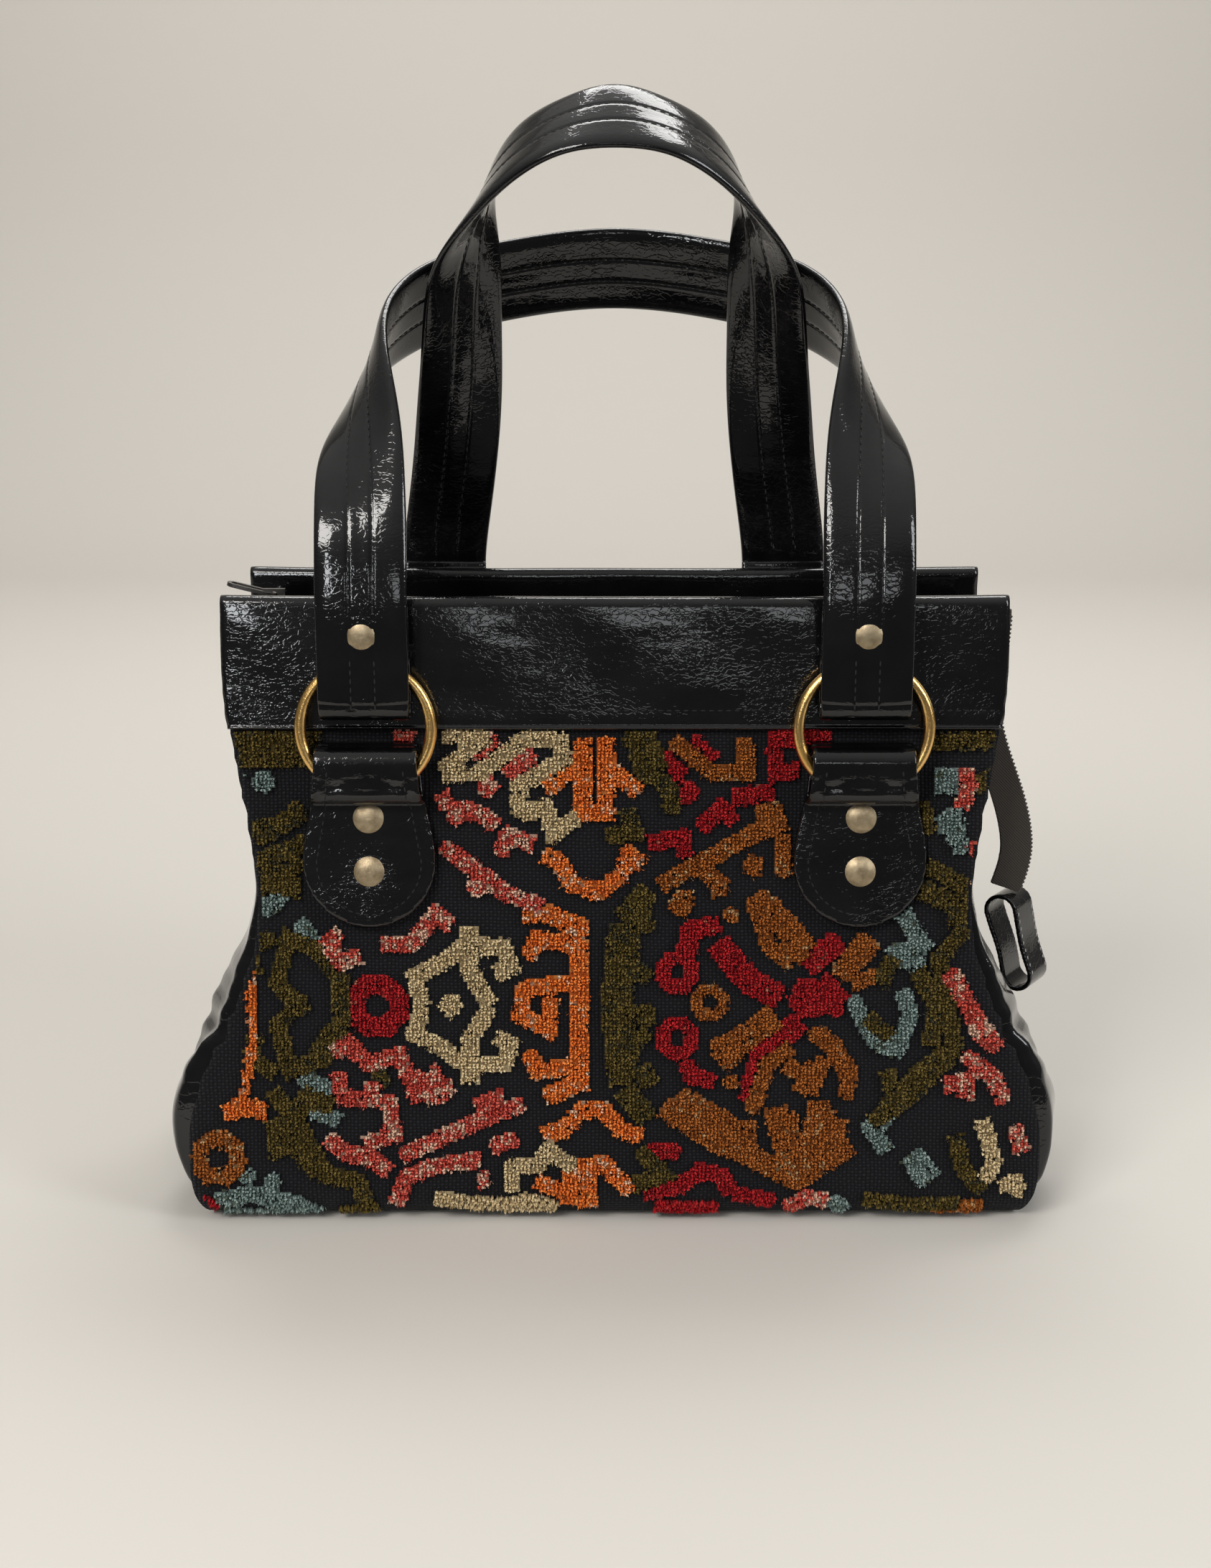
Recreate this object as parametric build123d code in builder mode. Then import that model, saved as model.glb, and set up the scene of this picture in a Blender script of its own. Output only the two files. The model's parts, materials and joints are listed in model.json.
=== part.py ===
"""Handbag with a woven carpet-pattern panel, patent trim, two strap handles on
rings and a zipped middle pocket.

Frame: origin at the centre of the base on the resting plane, +X to the right,
+Y to the back, +Z up. Millimetres.
"""

from build123d import *
import math
import os

os.makedirs("parts", exist_ok=True)

# Body, outside sizes
RIM_HEIGHT = 250.0
RIM_HALF_WIDTH = 151.0
RIM_HALF_DEPTH = 36.0
BAND_LEAN = 4.5
WAIST_HEIGHT = 108.0
WAIST_HALF_WIDTH = 143.0
BASE_HALF_WIDTH = 170.0
BASE_HALF_DEPTH = 66.0
CORNER_RADIUS = 14.0
BASE_TUCK = 13.0
GUSSET_FOLD_DEPTH = 24.0
GUSSET_PUFF = 9.0
GUSSET_DROP = 14.0

# Sheet thicknesses and the gap left between sewn layers
PATENT_THICKNESS = 1.6
PANEL_THICKNESS = 2.0
LINING_THICKNESS = 1.0
BOARD_THICKNESS = 2.5
LAYER_GAP = 0.3
BAND_HEIGHT = 50.0
FACING_HEIGHT = 26.0
SEAM_ALLOWANCE = 6.0
PILE_HEIGHT = 2.2
PILE_ROOT = 0.1

# Middle pocket and its zip
POCKET_HALF_DEPTH = 12.0
POCKET_WALL = 1.2
POCKET_FOOT_HALF_WIDTH = 137.0
POCKET_TOP_HALF_WIDTH = 132.0
ZIP_HALF_LENGTH = 147.0
TAPE_THICKNESS = 0.9
TOOTH_PITCH = 6.0
TOOTH_LENGTH = 3.4
TOOTH_HEIGHT = 2.2
TOOTH_REACH = 2.4
ZIP_SPLIT = 1.2
SLIDER_LENGTH = 10.0
SLIDER_WIDTH = 8.0
SLIDER_PLATE = 1.2
SLIDER_CLEARANCE = 0.4
LUG_HEIGHT = 4.4
PULL_LENGTH = 20.0
PULL_WIDTH = 6.6
PULL_WIRE = 1.5
PULL_REST_ANGLE = 14.0
PULL_CLEARANCE = 0.35
LUG_WIDTH = 2.0
TAIL_WIDTH = 13.0
TAIL_THICKNESS = 1.8
TAIL_BOTTOM = 121.0
TAIL_SWING = 13.0
END_TAB_LENGTH = 42.0
END_TAB_WIDTH = 17.0
END_TAB_LEATHER = 1.8
END_TAB_DEPTH = 15.0

# Rings, tabs and straps
RING_WIRE = 4.5
RING_OUTER = 55.0
RING_HEIGHT = 201.0
FRONT_RING_X = 96.0
BACK_RING_X = 72.0
LOOP_SPACE = 8.4
LOOP_LEATHER = 2.0
SEAT_GAP = 0.5
TAB_NECK_WIDTH = 40.0
TAB_FOOT_WIDTH = 52.0
TAB_BOTTOM = 122.0
TAB_TOP = 194.0
TAB_THICKNESS = 4.0
TAB_RIVET_HEIGHTS = (143.5, 164.5)
STRAP_WIDTH = 35.0
STRAP_THICKNESS = 4.4
STRAP_EDGE = 2.2
STRAP_FOLD_BOTTOM = 204.0
STRAP_RIVET_HEIGHT = 238.0
FLAP_TOP = 247.0
STRAP_FOOT_TOP = 252.0
RIVET_HEAD = 12.0
RIVET_DOME = 1.6
RIVET_SHANK = 3.4
RIVET_CAP = 8.0
RIVET_CAP_THICKNESS = 0.8
SHANK_CLEARANCE = 0.1

# One step of the woven pattern, and the usual width of a line of pile
KNOT = 4.0
LINE = 1.7

BAND_BOTTOM = RIM_HEIGHT - BAND_HEIGHT
REACH = BASE_HALF_WIDTH + 30


def wall_y(height):
    """How far the outside of the panel stands from the middle plane at a height."""
    if height > BAND_BOTTOM:
        return RIM_HALF_DEPTH + BAND_LEAN * (RIM_HEIGHT - height) / BAND_HEIGHT
    if height < CORNER_RADIUS:
        rise = CORNER_RADIUS - height
        return BASE_HALF_DEPTH - CORNER_RADIUS + math.sqrt(CORNER_RADIUS**2 - rise**2)
    shoulder = RIM_HALF_DEPTH + BAND_LEAN
    return shoulder + (BASE_HALF_DEPTH - shoulder) * (BAND_BOTTOM - height) / BAND_BOTTOM


def body_outline(grow):
    """Outline of the body from the side, both walls and the bottom, grown by a distance."""
    with BuildSketch(Plane.YZ) as outline:
        with BuildLine():
            FilletPolyline(
                (-RIM_HALF_DEPTH, RIM_HEIGHT + 10),
                (-RIM_HALF_DEPTH - BAND_LEAN, BAND_BOTTOM),
                (-BASE_HALF_DEPTH, 0),
                (BASE_HALF_DEPTH, 0),
                (RIM_HALF_DEPTH + BAND_LEAN, BAND_BOTTOM),
                (RIM_HALF_DEPTH, RIM_HEIGHT + 10),
                radius=CORNER_RADIUS,
            )
            Line((RIM_HALF_DEPTH, RIM_HEIGHT + 10), (-RIM_HALF_DEPTH, RIM_HEIGHT + 10))
        make_face()
        offset(amount=grow, kind=Kind.INTERSECTION)
    return outline.sketch


def layer(near, far):
    """A sheet round the body between two distances out from its outline."""
    with BuildPart() as sheet:
        extrude(body_outline(far), amount=REACH, both=True)
        extrude(body_outline(near), amount=REACH, both=True, mode=Mode.SUBTRACT)
    return sheet.part


def panel_side(inset):
    """Right-hand edge of the panel: narrow at the waist, wide at the base."""
    return Spline(
        (RIM_HALF_WIDTH - inset, RIM_HEIGHT),
        (RIM_HALF_WIDTH - 1 - inset, BAND_BOTTOM),
        (WAIST_HALF_WIDTH - inset, WAIST_HEIGHT),
        (BASE_HALF_WIDTH - inset, 24),
        (BASE_HALF_WIDTH - BASE_TUCK - inset, -3),
    )


def half_width(height):
    """Half the panel's width at a height."""
    side = panel_side(0)
    cut = side.intersect(Edge.make_line((0, height), (REACH, height)))
    points = [p for p in ([cut] if isinstance(cut, Vector) else cut.vertices())]
    return points[0].X


def panel_face(inset, bottom, top):
    """Outline of the panel from the front, between two heights."""
    with BuildSketch(Plane.XZ) as face:
        with BuildLine():
            edge = panel_side(inset)
            mirror(edge, about=Plane.YZ)
            Line(edge @ 0, (-(edge @ 0).X, (edge @ 0).Y))
            Line(edge @ 1, (-(edge @ 1).X, (edge @ 1).Y))
        make_face()
        with Locations((0, (bottom + top) / 2)):
            Rectangle(2 * REACH, top - bottom, mode=Mode.INTERSECT)
    return face.sketch


def front_sheet(sheet, face):
    """The part of a sheet that lies behind a front outline, front half only."""
    with BuildPart() as piece:
        add(sheet)
        extrude(face, amount=BASE_HALF_DEPTH + 30, mode=Mode.INTERSECT)
    return piece.part


def save(piece, label):
    """Write one finished piece to its own file."""
    piece.label = label
    export_step(piece, f"parts/{label}.step")
    return piece


def save_both(piece, front_label, back_label):
    """Write a front piece and its twin on the back wall."""
    save(piece, front_label)
    save(mirror(piece, about=Plane.XZ), back_label)


tab_grip = TAB_THICKNESS + SEAT_GAP + PANEL_THICKNESS + LAYER_GAP + LINING_THICKNESS + 0.1
strap_grip = STRAP_THICKNESS + LOOP_LEATHER
front_xs = (-FRONT_RING_X, FRONT_RING_X)
back_xs = (-BACK_RING_X, BACK_RING_X)


def rivet_at(seat, grip):
    """Domed rivet on a seat plane, its shank through the layers to a flat cap behind."""
    with BuildPart() as rivet:
        with BuildSketch(Plane(origin=seat.origin, x_dir=seat.x_dir, z_dir=seat.y_dir)):
            with BuildLine():
                dome = ThreePointArc(
                    (0, -RIVET_DOME),
                    (RIVET_HEAD / 2 * 0.72, -RIVET_DOME * 0.6),
                    (RIVET_HEAD / 2, 0),
                )
                Polyline(
                    dome @ 1,
                    (RIVET_SHANK / 2, 0),
                    (RIVET_SHANK / 2, grip),
                    (RIVET_CAP / 2, grip),
                    (RIVET_CAP / 2, grip + RIVET_CAP_THICKNESS),
                    (0, grip + RIVET_CAP_THICKNESS),
                    dome @ 0,
                )
            make_face()
        revolve(axis=Axis(seat.origin, -seat.z_dir))
    return rivet.part


def shank_hole(seat, grip):
    """The hole that a rivet's shank passes through."""
    with BuildPart() as hole:
        with BuildSketch(seat.offset(0.1)):
            Circle(RIVET_SHANK / 2 + SHANK_CLEARANCE)
        extrude(amount=-grip - 0.1)
    return hole.part


def tab_seats(x):
    """Planes on the face of a tab where its rivets sit."""
    lean = math.atan2(wall_y(20) - wall_y(BAND_BOTTOM), BAND_BOTTOM - 20)
    out = Vector(0, -math.cos(lean), math.sin(lean))
    face = SEAT_GAP + TAB_THICKNESS
    return [
        Plane(origin=Vector(x, -wall_y(z), z) + out * face, x_dir=(1, 0, 0), z_dir=out)
        for z in TAB_RIVET_HEIGHTS
    ]


def together(pieces):
    """Separate solids kept side by side in one node."""
    return Part(children=pieces)


def riveted(sheet, xs):
    """A wall sheet with the holes for the rivets of the tabs at the given places."""
    with BuildPart() as holed:
        add(sheet)
        for x in xs:
            for seat in tab_seats(x):
                add(shank_hole(seat, tab_grip), mode=Mode.SUBTRACT)
    return holed.part


# Panel: woven cloth from the rim to under the base
under = -(BASE_HALF_DEPTH - CORNER_RADIUS)
with BuildPart() as front_panel:
    add(front_sheet(layer(-PANEL_THICKNESS, 0), panel_face(0, -1, RIM_HEIGHT - 3)))
    with BuildSketch(Plane.XY):
        with Locations((0, under / 2)):
            Rectangle(2 * REACH, -under)
    extrude(amount=PANEL_THICKNESS * 2, both=True, mode=Mode.SUBTRACT)
save(riveted(front_panel.part, front_xs), "front_panel")
save(mirror(riveted(front_panel.part, back_xs), about=Plane.XZ), "back_panel")

# Band: patent sheet over the panel's top, folded over the rim into an inner facing
facing_near = -PANEL_THICKNESS - LAYER_GAP - PATENT_THICKNESS
band_out = LAYER_GAP + PATENT_THICKNESS
with BuildPart() as front_band:
    add(front_sheet(layer(facing_near, band_out), panel_face(0, BAND_BOTTOM, RIM_HEIGHT)))
    add(
        front_sheet(
            layer(facing_near + PATENT_THICKNESS, LAYER_GAP),
            panel_face(-5, BAND_BOTTOM - 5, RIM_HEIGHT - PATENT_THICKNESS),
        ),
        mode=Mode.SUBTRACT,
    )
    add(
        front_sheet(
            layer(facing_near - 1, facing_near + PATENT_THICKNESS),
            panel_face(-5, BAND_BOTTOM - 5, RIM_HEIGHT - FACING_HEIGHT),
        ),
        mode=Mode.SUBTRACT,
    )
save_both(front_band.part, "front_band", "back_band")

# Lining wall: from under the facing down to the base board
board_top = PATENT_THICKNESS + LAYER_GAP + BOARD_THICKNESS
lining_far = -PANEL_THICKNESS - LAYER_GAP
lining = front_sheet(
    layer(lining_far - LINING_THICKNESS, lining_far),
    panel_face(
        SEAM_ALLOWANCE + 3, board_top + CORNER_RADIUS / 2, RIM_HEIGHT - FACING_HEIGHT - LAYER_GAP
    ),
)
save(riveted(lining, front_xs), "front_lining")
save(mirror(riveted(lining, back_xs), about=Plane.XZ), "back_lining")


def gusset_plan(height, fold, puff):
    """Plan of a side gusset at a height: tucked edges, two puffs and a fold between them."""
    wide = half_width(height)
    inside = wall_y(max(height - PANEL_THICKNESS, 0))
    edge = inside - PANEL_THICKNESS - PATENT_THICKNESS - 3 * LAYER_GAP
    outer = [
        (wide - SEAM_ALLOWANCE, -edge),
        (wide + puff / 2, -edge + 2),
        (wide + puff, -edge * 0.55),
        (wide - fold, 0),
        (wide + puff, edge * 0.55),
        (wide + puff / 2, edge - 2),
        (wide - SEAM_ALLOWANCE, edge),
    ]
    inner = [(x - PATENT_THICKNESS, y) for x, y in reversed(outer)]
    with BuildSketch(Plane.XY.offset(height)) as plan:
        with BuildLine():
            Polyline(*outer, *inner, close=True)
        make_face()
    return plan.sketch.face()


# Gusset: patent side, folded in below the rim and puffed out towards the base
base_top = PATENT_THICKNESS + LAYER_GAP
gusset_top = RIM_HEIGHT - GUSSET_DROP
with BuildPart() as gusset_right:
    loft(
        sections=[
            gusset_plan(base_top + LAYER_GAP, 0, 1),
            gusset_plan(CORNER_RADIUS * 2, -GUSSET_PUFF / 2, GUSSET_PUFF),
            gusset_plan(WAIST_HEIGHT - 30, -GUSSET_PUFF * 2 / 3, GUSSET_PUFF + 3),
            gusset_plan(WAIST_HEIGHT + 35, GUSSET_FOLD_DEPTH / 8, 5),
            gusset_plan(BAND_BOTTOM, GUSSET_FOLD_DEPTH * 0.8, -1),
            gusset_plan(gusset_top, GUSSET_FOLD_DEPTH, -5),
        ]
    )
save(gusset_right.part, "gusset_right")
save(mirror(gusset_right.part, about=Plane.YZ), "gusset_left")

# Base: patent bottom between the turned-under panels, and the board that stiffens it
with BuildPart() as base_panel:
    with BuildSketch():
        RectangleRounded(2 * (BASE_HALF_WIDTH - BASE_TUCK), -2 * under - 2 * LAYER_GAP, CORNER_RADIUS)
    extrude(amount=PATENT_THICKNESS)
save(base_panel.part, "base_panel")

with BuildPart() as base_board:
    with BuildSketch(Plane.XY.offset(base_top)):
        RectangleRounded(2 * (BASE_HALF_WIDTH - BASE_TUCK) - 20, -2 * under - 10, CORNER_RADIUS / 2)
    extrude(amount=BOARD_THICKNESS)
save(base_board.part, "base_board")

# Middle pocket: two walls standing on the board, closed above by the zip
tape_bottom = gusset_top + 2
pocket_foot = board_top + LAYER_GAP
with BuildPart() as pocket_wall:
    with BuildSketch(Plane.XZ.offset(POCKET_HALF_DEPTH - POCKET_WALL)):
        with BuildLine():
            Polyline(
                (-POCKET_FOOT_HALF_WIDTH, pocket_foot),
                (POCKET_FOOT_HALF_WIDTH, pocket_foot),
                (POCKET_TOP_HALF_WIDTH, tape_bottom - LAYER_GAP),
                (-POCKET_TOP_HALF_WIDTH, tape_bottom - LAYER_GAP),
                close=True,
            )
        make_face()
    extrude(amount=POCKET_WALL)
save_both(pocket_wall.part, "pocket_wall_front", "pocket_wall_back")

# Zip: two tapes over the pocket and a row of teeth on the edge of each
tape_top = tape_bottom + TAPE_THICKNESS
with BuildPart() as zip_tape:
    with BuildSketch(Plane.XY.offset(tape_bottom)):
        with Locations((0, -(POCKET_HALF_DEPTH + ZIP_SPLIT) / 2)):
            Rectangle(2 * ZIP_HALF_LENGTH, POCKET_HALF_DEPTH - ZIP_SPLIT)
    extrude(amount=TAPE_THICKNESS)
save_both(zip_tape.part, "zip_tape_front", "zip_tape_back")

tooth_count = int((2 * ZIP_HALF_LENGTH - 3 * SLIDER_LENGTH) / TOOTH_PITCH)
teeth_start = -ZIP_HALF_LENGTH + 2 * SLIDER_LENGTH
with BuildPart() as zip_teeth:
    with BuildSketch(Plane.XY.offset(tape_top)):
        for number in range(tooth_count):
            for side in (-1, 1):
                middle = side * (ZIP_SPLIT / 2 + TOOTH_REACH / 2)
                shift = TOOTH_PITCH / 4 * side
                with Locations((teeth_start + number * TOOTH_PITCH + shift, middle)):
                    Rectangle(TOOTH_LENGTH, TOOTH_REACH)
    extrude(amount=TOOTH_HEIGHT)
save(zip_teeth.part, "zip_teeth")

# Slider: plates above and below the tapes joined by a thin web, with a lug for the pull
slider_x = -ZIP_HALF_LENGTH + SLIDER_LENGTH
slider_low = tape_bottom - SLIDER_CLEARANCE - SLIDER_PLATE
slider_high = tape_top + TOOTH_HEIGHT + SLIDER_CLEARANCE
lug_hole = PULL_WIRE / math.sqrt(2) + PULL_CLEARANCE
lug_z = slider_high + SLIDER_PLATE + LUG_HEIGHT - lug_hole - 1
with BuildPart() as zip_slider:
    with BuildSketch(Plane.XY.offset(slider_low)):
        with Locations((slider_x, 0)):
            RectangleRounded(SLIDER_LENGTH, SLIDER_WIDTH, 2)
    extrude(amount=SLIDER_PLATE)
    with BuildSketch(Plane.XY.offset(slider_high)):
        with Locations((slider_x, 0)):
            RectangleRounded(SLIDER_LENGTH, SLIDER_WIDTH, 2)
    extrude(amount=SLIDER_PLATE)
    with BuildSketch(Plane.XY.offset(slider_low)):
        with Locations((slider_x, 0)):
            Rectangle(SLIDER_LENGTH - 2, ZIP_SPLIT / 2)
    extrude(amount=slider_high - slider_low)
    with BuildSketch(Plane.XZ.offset(-LUG_WIDTH / 2)):
        with Locations((slider_x, slider_high + SLIDER_PLATE + LUG_HEIGHT / 2)):
            Rectangle(2 * LUG_HEIGHT, LUG_HEIGHT)
        with Locations((slider_x, lug_z)):
            Circle(lug_hole, mode=Mode.SUBTRACT)
    extrude(amount=LUG_WIDTH)
save(zip_slider.part, "zip_slider")

# Pull: a long flat loop, one end through the lug's hole
pull_half = PULL_WIDTH / 2
pull_tilt = math.radians(PULL_REST_ANGLE)
pull_plane = Plane(
    origin=(slider_x, 0, lug_z),
    x_dir=(-math.cos(pull_tilt), 0, math.sin(pull_tilt)),
    z_dir=(math.sin(pull_tilt), 0, math.cos(pull_tilt)),
)
with BuildPart() as zip_pull:
    with BuildSketch(pull_plane.offset(-PULL_WIRE / 2)):
        with Locations((PULL_LENGTH / 2 - PULL_WIRE / 2, 0)):
            SlotOverall(PULL_LENGTH, PULL_WIDTH)
            SlotOverall(PULL_LENGTH - 2 * PULL_WIRE, PULL_WIDTH - 2 * PULL_WIRE, mode=Mode.SUBTRACT)
    extrude(amount=PULL_WIRE)
save(zip_pull.part, "zip_pull")

# Zip tail: past the right-hand end the zip is folded in half and hangs outside the bag
tail_edge = ZIP_HALF_LENGTH + LAYER_GAP
tail_x = tail_edge + TAIL_WIDTH / 2
with BuildPart() as zip_tail:
    with BuildSketch(Plane.XZ.offset(-TAIL_THICKNESS / 2)):
        with BuildLine():
            Spline(
                (tail_x, tape_top),
                (tail_x - 2, tape_top - 46),
                (tail_x + TAIL_SWING * 0.65, TAIL_BOTTOM + 40),
                (tail_x + TAIL_SWING, TAIL_BOTTOM + 20),
                (tail_x + TAIL_SWING * 0.72, TAIL_BOTTOM),
                tangents=[(0, -1), (-0.35, -1)],
            )
        trace(line_width=TAIL_WIDTH)
    extrude(amount=TAIL_THICKNESS)
save(zip_tail.part, "zip_tail")

# Zip end: a folded leather loop sewn over the end of the tail
end_lean = Vector(0.29, 0, -1).normalized()
end_plane = Plane(
    origin=Vector(tail_x + TAIL_SWING * 0.72, END_TAB_WIDTH / 2, TAIL_BOTTOM - 2)
    + end_lean * (END_TAB_LENGTH / 2),
    x_dir=end_lean,
    z_dir=(0, -1, 0),
)
with BuildPart() as zip_end_tab:
    with BuildSketch(end_plane):
        SlotOverall(END_TAB_LENGTH, END_TAB_DEPTH)
        SlotOverall(
            END_TAB_LENGTH - 2 * END_TAB_LEATHER,
            END_TAB_DEPTH - 2 * END_TAB_LEATHER,
            mode=Mode.SUBTRACT,
        )
    extrude(amount=END_TAB_WIDTH)
save(zip_end_tab.part, "zip_end_tab")
print("end loop centre", end_plane.origin)

# Rings: their lower half lies in the tab's loop, their upper half in the strap's
ring_radius = (RING_OUTER - RING_WIRE) / 2
tab_rise = ring_radius - math.sqrt(ring_radius**2 - (TAB_NECK_WIDTH / 2) ** 2)
strap_drop = ring_radius - math.sqrt(ring_radius**2 - (STRAP_WIDTH / 2) ** 2)
low_pivot_z = RING_HEIGHT - ring_radius + tab_rise / 2
high_pivot_z = RING_HEIGHT + ring_radius - strap_drop / 2
slot_depth = LOOP_SPACE + 2 * LOOP_LEATHER
low_pivot_y = -wall_y(low_pivot_z - tab_rise) - SEAT_GAP - LOOP_LEATHER - LOOP_SPACE / 2
high_pivot_y = -wall_y(STRAP_FOLD_BOTTOM) - band_out - SEAT_GAP - slot_depth / 2
ring_tilt = math.degrees(math.atan2(high_pivot_y - low_pivot_y, high_pivot_z - low_pivot_z))
ring_y = low_pivot_y + (RING_HEIGHT - low_pivot_z) * math.tan(math.radians(ring_tilt))
print("low pivot", low_pivot_y, low_pivot_z, "high pivot", high_pivot_y, high_pivot_z)


def ring_at(x):
    """A closed wire ring hanging in the loops in front of the front wall."""
    with BuildPart() as ring:
        with Locations(Location((x, ring_y, RING_HEIGHT), (90 - ring_tilt, 0, 0))):
            Torus(ring_radius, RING_WIRE / 2)
    return ring.part


def tab_outline(x):
    """Tongue outline from the front: narrow neck at the ring, round foot."""
    with BuildSketch(Plane.XZ) as tongue:
        with BuildLine():
            neck = TAB_NECK_WIDTH / 2
            foot = TAB_FOOT_WIDTH / 2
            foot_z = TAB_BOTTOM + foot * 0.92
            right = Spline(
                (x + neck, TAB_TOP),
                (x + neck + 0.6, TAB_TOP - 14),
                (x + foot, foot_z),
                tangents=[(0, -1), (0, -1)],
            )
            left = Spline(
                (x - neck, TAB_TOP),
                (x - neck - 0.6, TAB_TOP - 14),
                (x - foot, foot_z),
                tangents=[(0, -1), (0, -1)],
            )
            Line(left @ 0, right @ 0)
            RadiusArc(left @ 1, (x, TAB_BOTTOM), -foot)
            RadiusArc((x, TAB_BOTTOM), right @ 1, -foot)
        make_face()
    return tongue.sketch


def loop_slot(pivot_y, low, high, space, mode=Mode.ADD):
    """Side outline of the hollow or the skin of a leather loop, drawn in a side sketch."""
    with Locations((pivot_y, (low + high) / 2)):
        SlotOverall(high - low, space, rotation=90, mode=mode)


tab_sheet = layer(SEAT_GAP, SEAT_GAP + TAB_THICKNESS)


def tab_at(x):
    """Two layers of patent sewn together and folded over the ring at the top."""
    low = RING_HEIGHT - RING_OUTER / 2 - LAYER_GAP
    with BuildPart() as loop:
        with BuildSketch(Plane.YZ.offset(x)):
            loop_slot(low_pivot_y, low - LOOP_LEATHER, TAB_TOP, slot_depth)
        extrude(amount=TAB_FOOT_WIDTH, both=True)
        extrude(tab_outline(x), amount=REACH, mode=Mode.INTERSECT)
    with BuildPart() as tab:
        add(front_sheet(tab_sheet, tab_outline(x)))
        add(loop.part)
        with BuildSketch(Plane.YZ.offset(x)):
            loop_slot(low_pivot_y, low, TAB_TOP - LOOP_LEATHER, LOOP_SPACE)
        extrude(amount=TAB_FOOT_WIDTH, both=True, mode=Mode.SUBTRACT)
        for seat in tab_seats(x):
            add(shank_hole(seat, tab_grip), mode=Mode.SUBTRACT)
    return tab.part


def strap_seat(x):
    """Plane on the face of a strap foot where its rivet sits."""
    return Plane(
        origin=(x, high_pivot_y - slot_depth / 2, STRAP_RIVET_HEIGHT),
        x_dir=(1, 0, 0),
        z_dir=(0, -1, 0),
    )


def strap_foot(x):
    """Lower end of a strap: it passes through the ring and turns up behind itself."""
    front_y = high_pivot_y - slot_depth / 2
    slot_top = RING_HEIGHT + RING_OUTER / 2 + LAYER_GAP
    with BuildPart() as foot:
        with BuildSketch(Plane.YZ.offset(x - STRAP_WIDTH / 2)):
            loop_slot(high_pivot_y, STRAP_FOLD_BOTTOM, slot_top + LOOP_LEATHER, slot_depth)
            with Locations((front_y + STRAP_THICKNESS / 2, (STRAP_FOOT_TOP + slot_top) / 2)):
                Rectangle(STRAP_THICKNESS, STRAP_FOOT_TOP - slot_top)
            with Locations((front_y + strap_grip / 2, (FLAP_TOP + slot_top) / 2)):
                Rectangle(strap_grip, FLAP_TOP - slot_top)
            with Locations((front_y + LOOP_LEATHER / 2, (slot_top + high_pivot_z) / 2)):
                Rectangle(LOOP_LEATHER, slot_top - high_pivot_z)
            hollow_bottom = STRAP_FOLD_BOTTOM + LOOP_LEATHER
            loop_slot(high_pivot_y, hollow_bottom, slot_top, LOOP_SPACE, mode=Mode.SUBTRACT)
        extrude(amount=STRAP_WIDTH)
        add(shank_hole(strap_seat(x), strap_grip), mode=Mode.SUBTRACT)
    return foot.part


def strap_loop(stations):
    """Padded strap lofted along a hand-held route: each station has a place and the
    direction that the strap's outer face looks in. Stations run from a foot to the top,
    and the other half mirrors them."""
    flip = [((-x, y, z), (-nx, ny, nz)) for (x, y, z), (nx, ny, nz) in reversed(stations[:-1])]
    whole = list(stations) + flip
    places = [Vector(*place) for place, _ in whole]
    route = Spline(*places, tangents=[(0, 0, 1), (0, 0, -1)])
    sections = []
    for place, (_, facing) in zip(places, whole):
        along = route.tangent_at(route.param_at_point(place))
        across = Vector(*facing).cross(along).normalized()
        with BuildSketch(Plane(origin=place, x_dir=across, z_dir=along)) as section:
            with BuildLine():
                side = STRAP_WIDTH / 2
                shoulder = side - STRAP_THICKNESS
                Polyline(
                    (-side, -STRAP_EDGE / 2),
                    (-shoulder, -STRAP_THICKNESS / 2),
                    (shoulder, -STRAP_THICKNESS / 2),
                    (side, -STRAP_EDGE / 2),
                    (side, STRAP_EDGE / 2),
                    (shoulder, STRAP_THICKNESS / 2),
                    (-shoulder, STRAP_THICKNESS / 2),
                    (-side, STRAP_EDGE / 2),
                    close=True,
                )
            make_face()
        sections.append(section.sketch.face())
    with BuildPart() as strap:
        loft(sections=sections)
    print("strap length", round(route.length), "volume", round(strap.part.volume))
    return strap.part


foot_y = high_pivot_y - slot_depth / 2 + STRAP_THICKNESS / 2

# The front handle flops back: its arch lies behind the tall back handle
front_stations = [
    ((FRONT_RING_X, foot_y, STRAP_FOOT_TOP), (0, -1, 0)),
    ((FRONT_RING_X, foot_y + 5, 276), (0, -1, 0.2)),
    ((FRONT_RING_X + 1, foot_y + 20, 301), (0.25, -0.9, 0.4)),
    ((FRONT_RING_X + 1, foot_y + 46, 326), (0.8, -0.5, 0.35)),
    ((FRONT_RING_X - 5, foot_y + 77, 346), (0.95, 0.25, 0.3)),
    ((FRONT_RING_X - 24, foot_y + 99, 359), (0.5, 0.8, 0.35)),
    ((FRONT_RING_X - 56, foot_y + 110, 367), (0.15, 0.9, 0.4)),
    ((0, foot_y + 115, 371), (0, 0.92, 0.38)),
]

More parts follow.
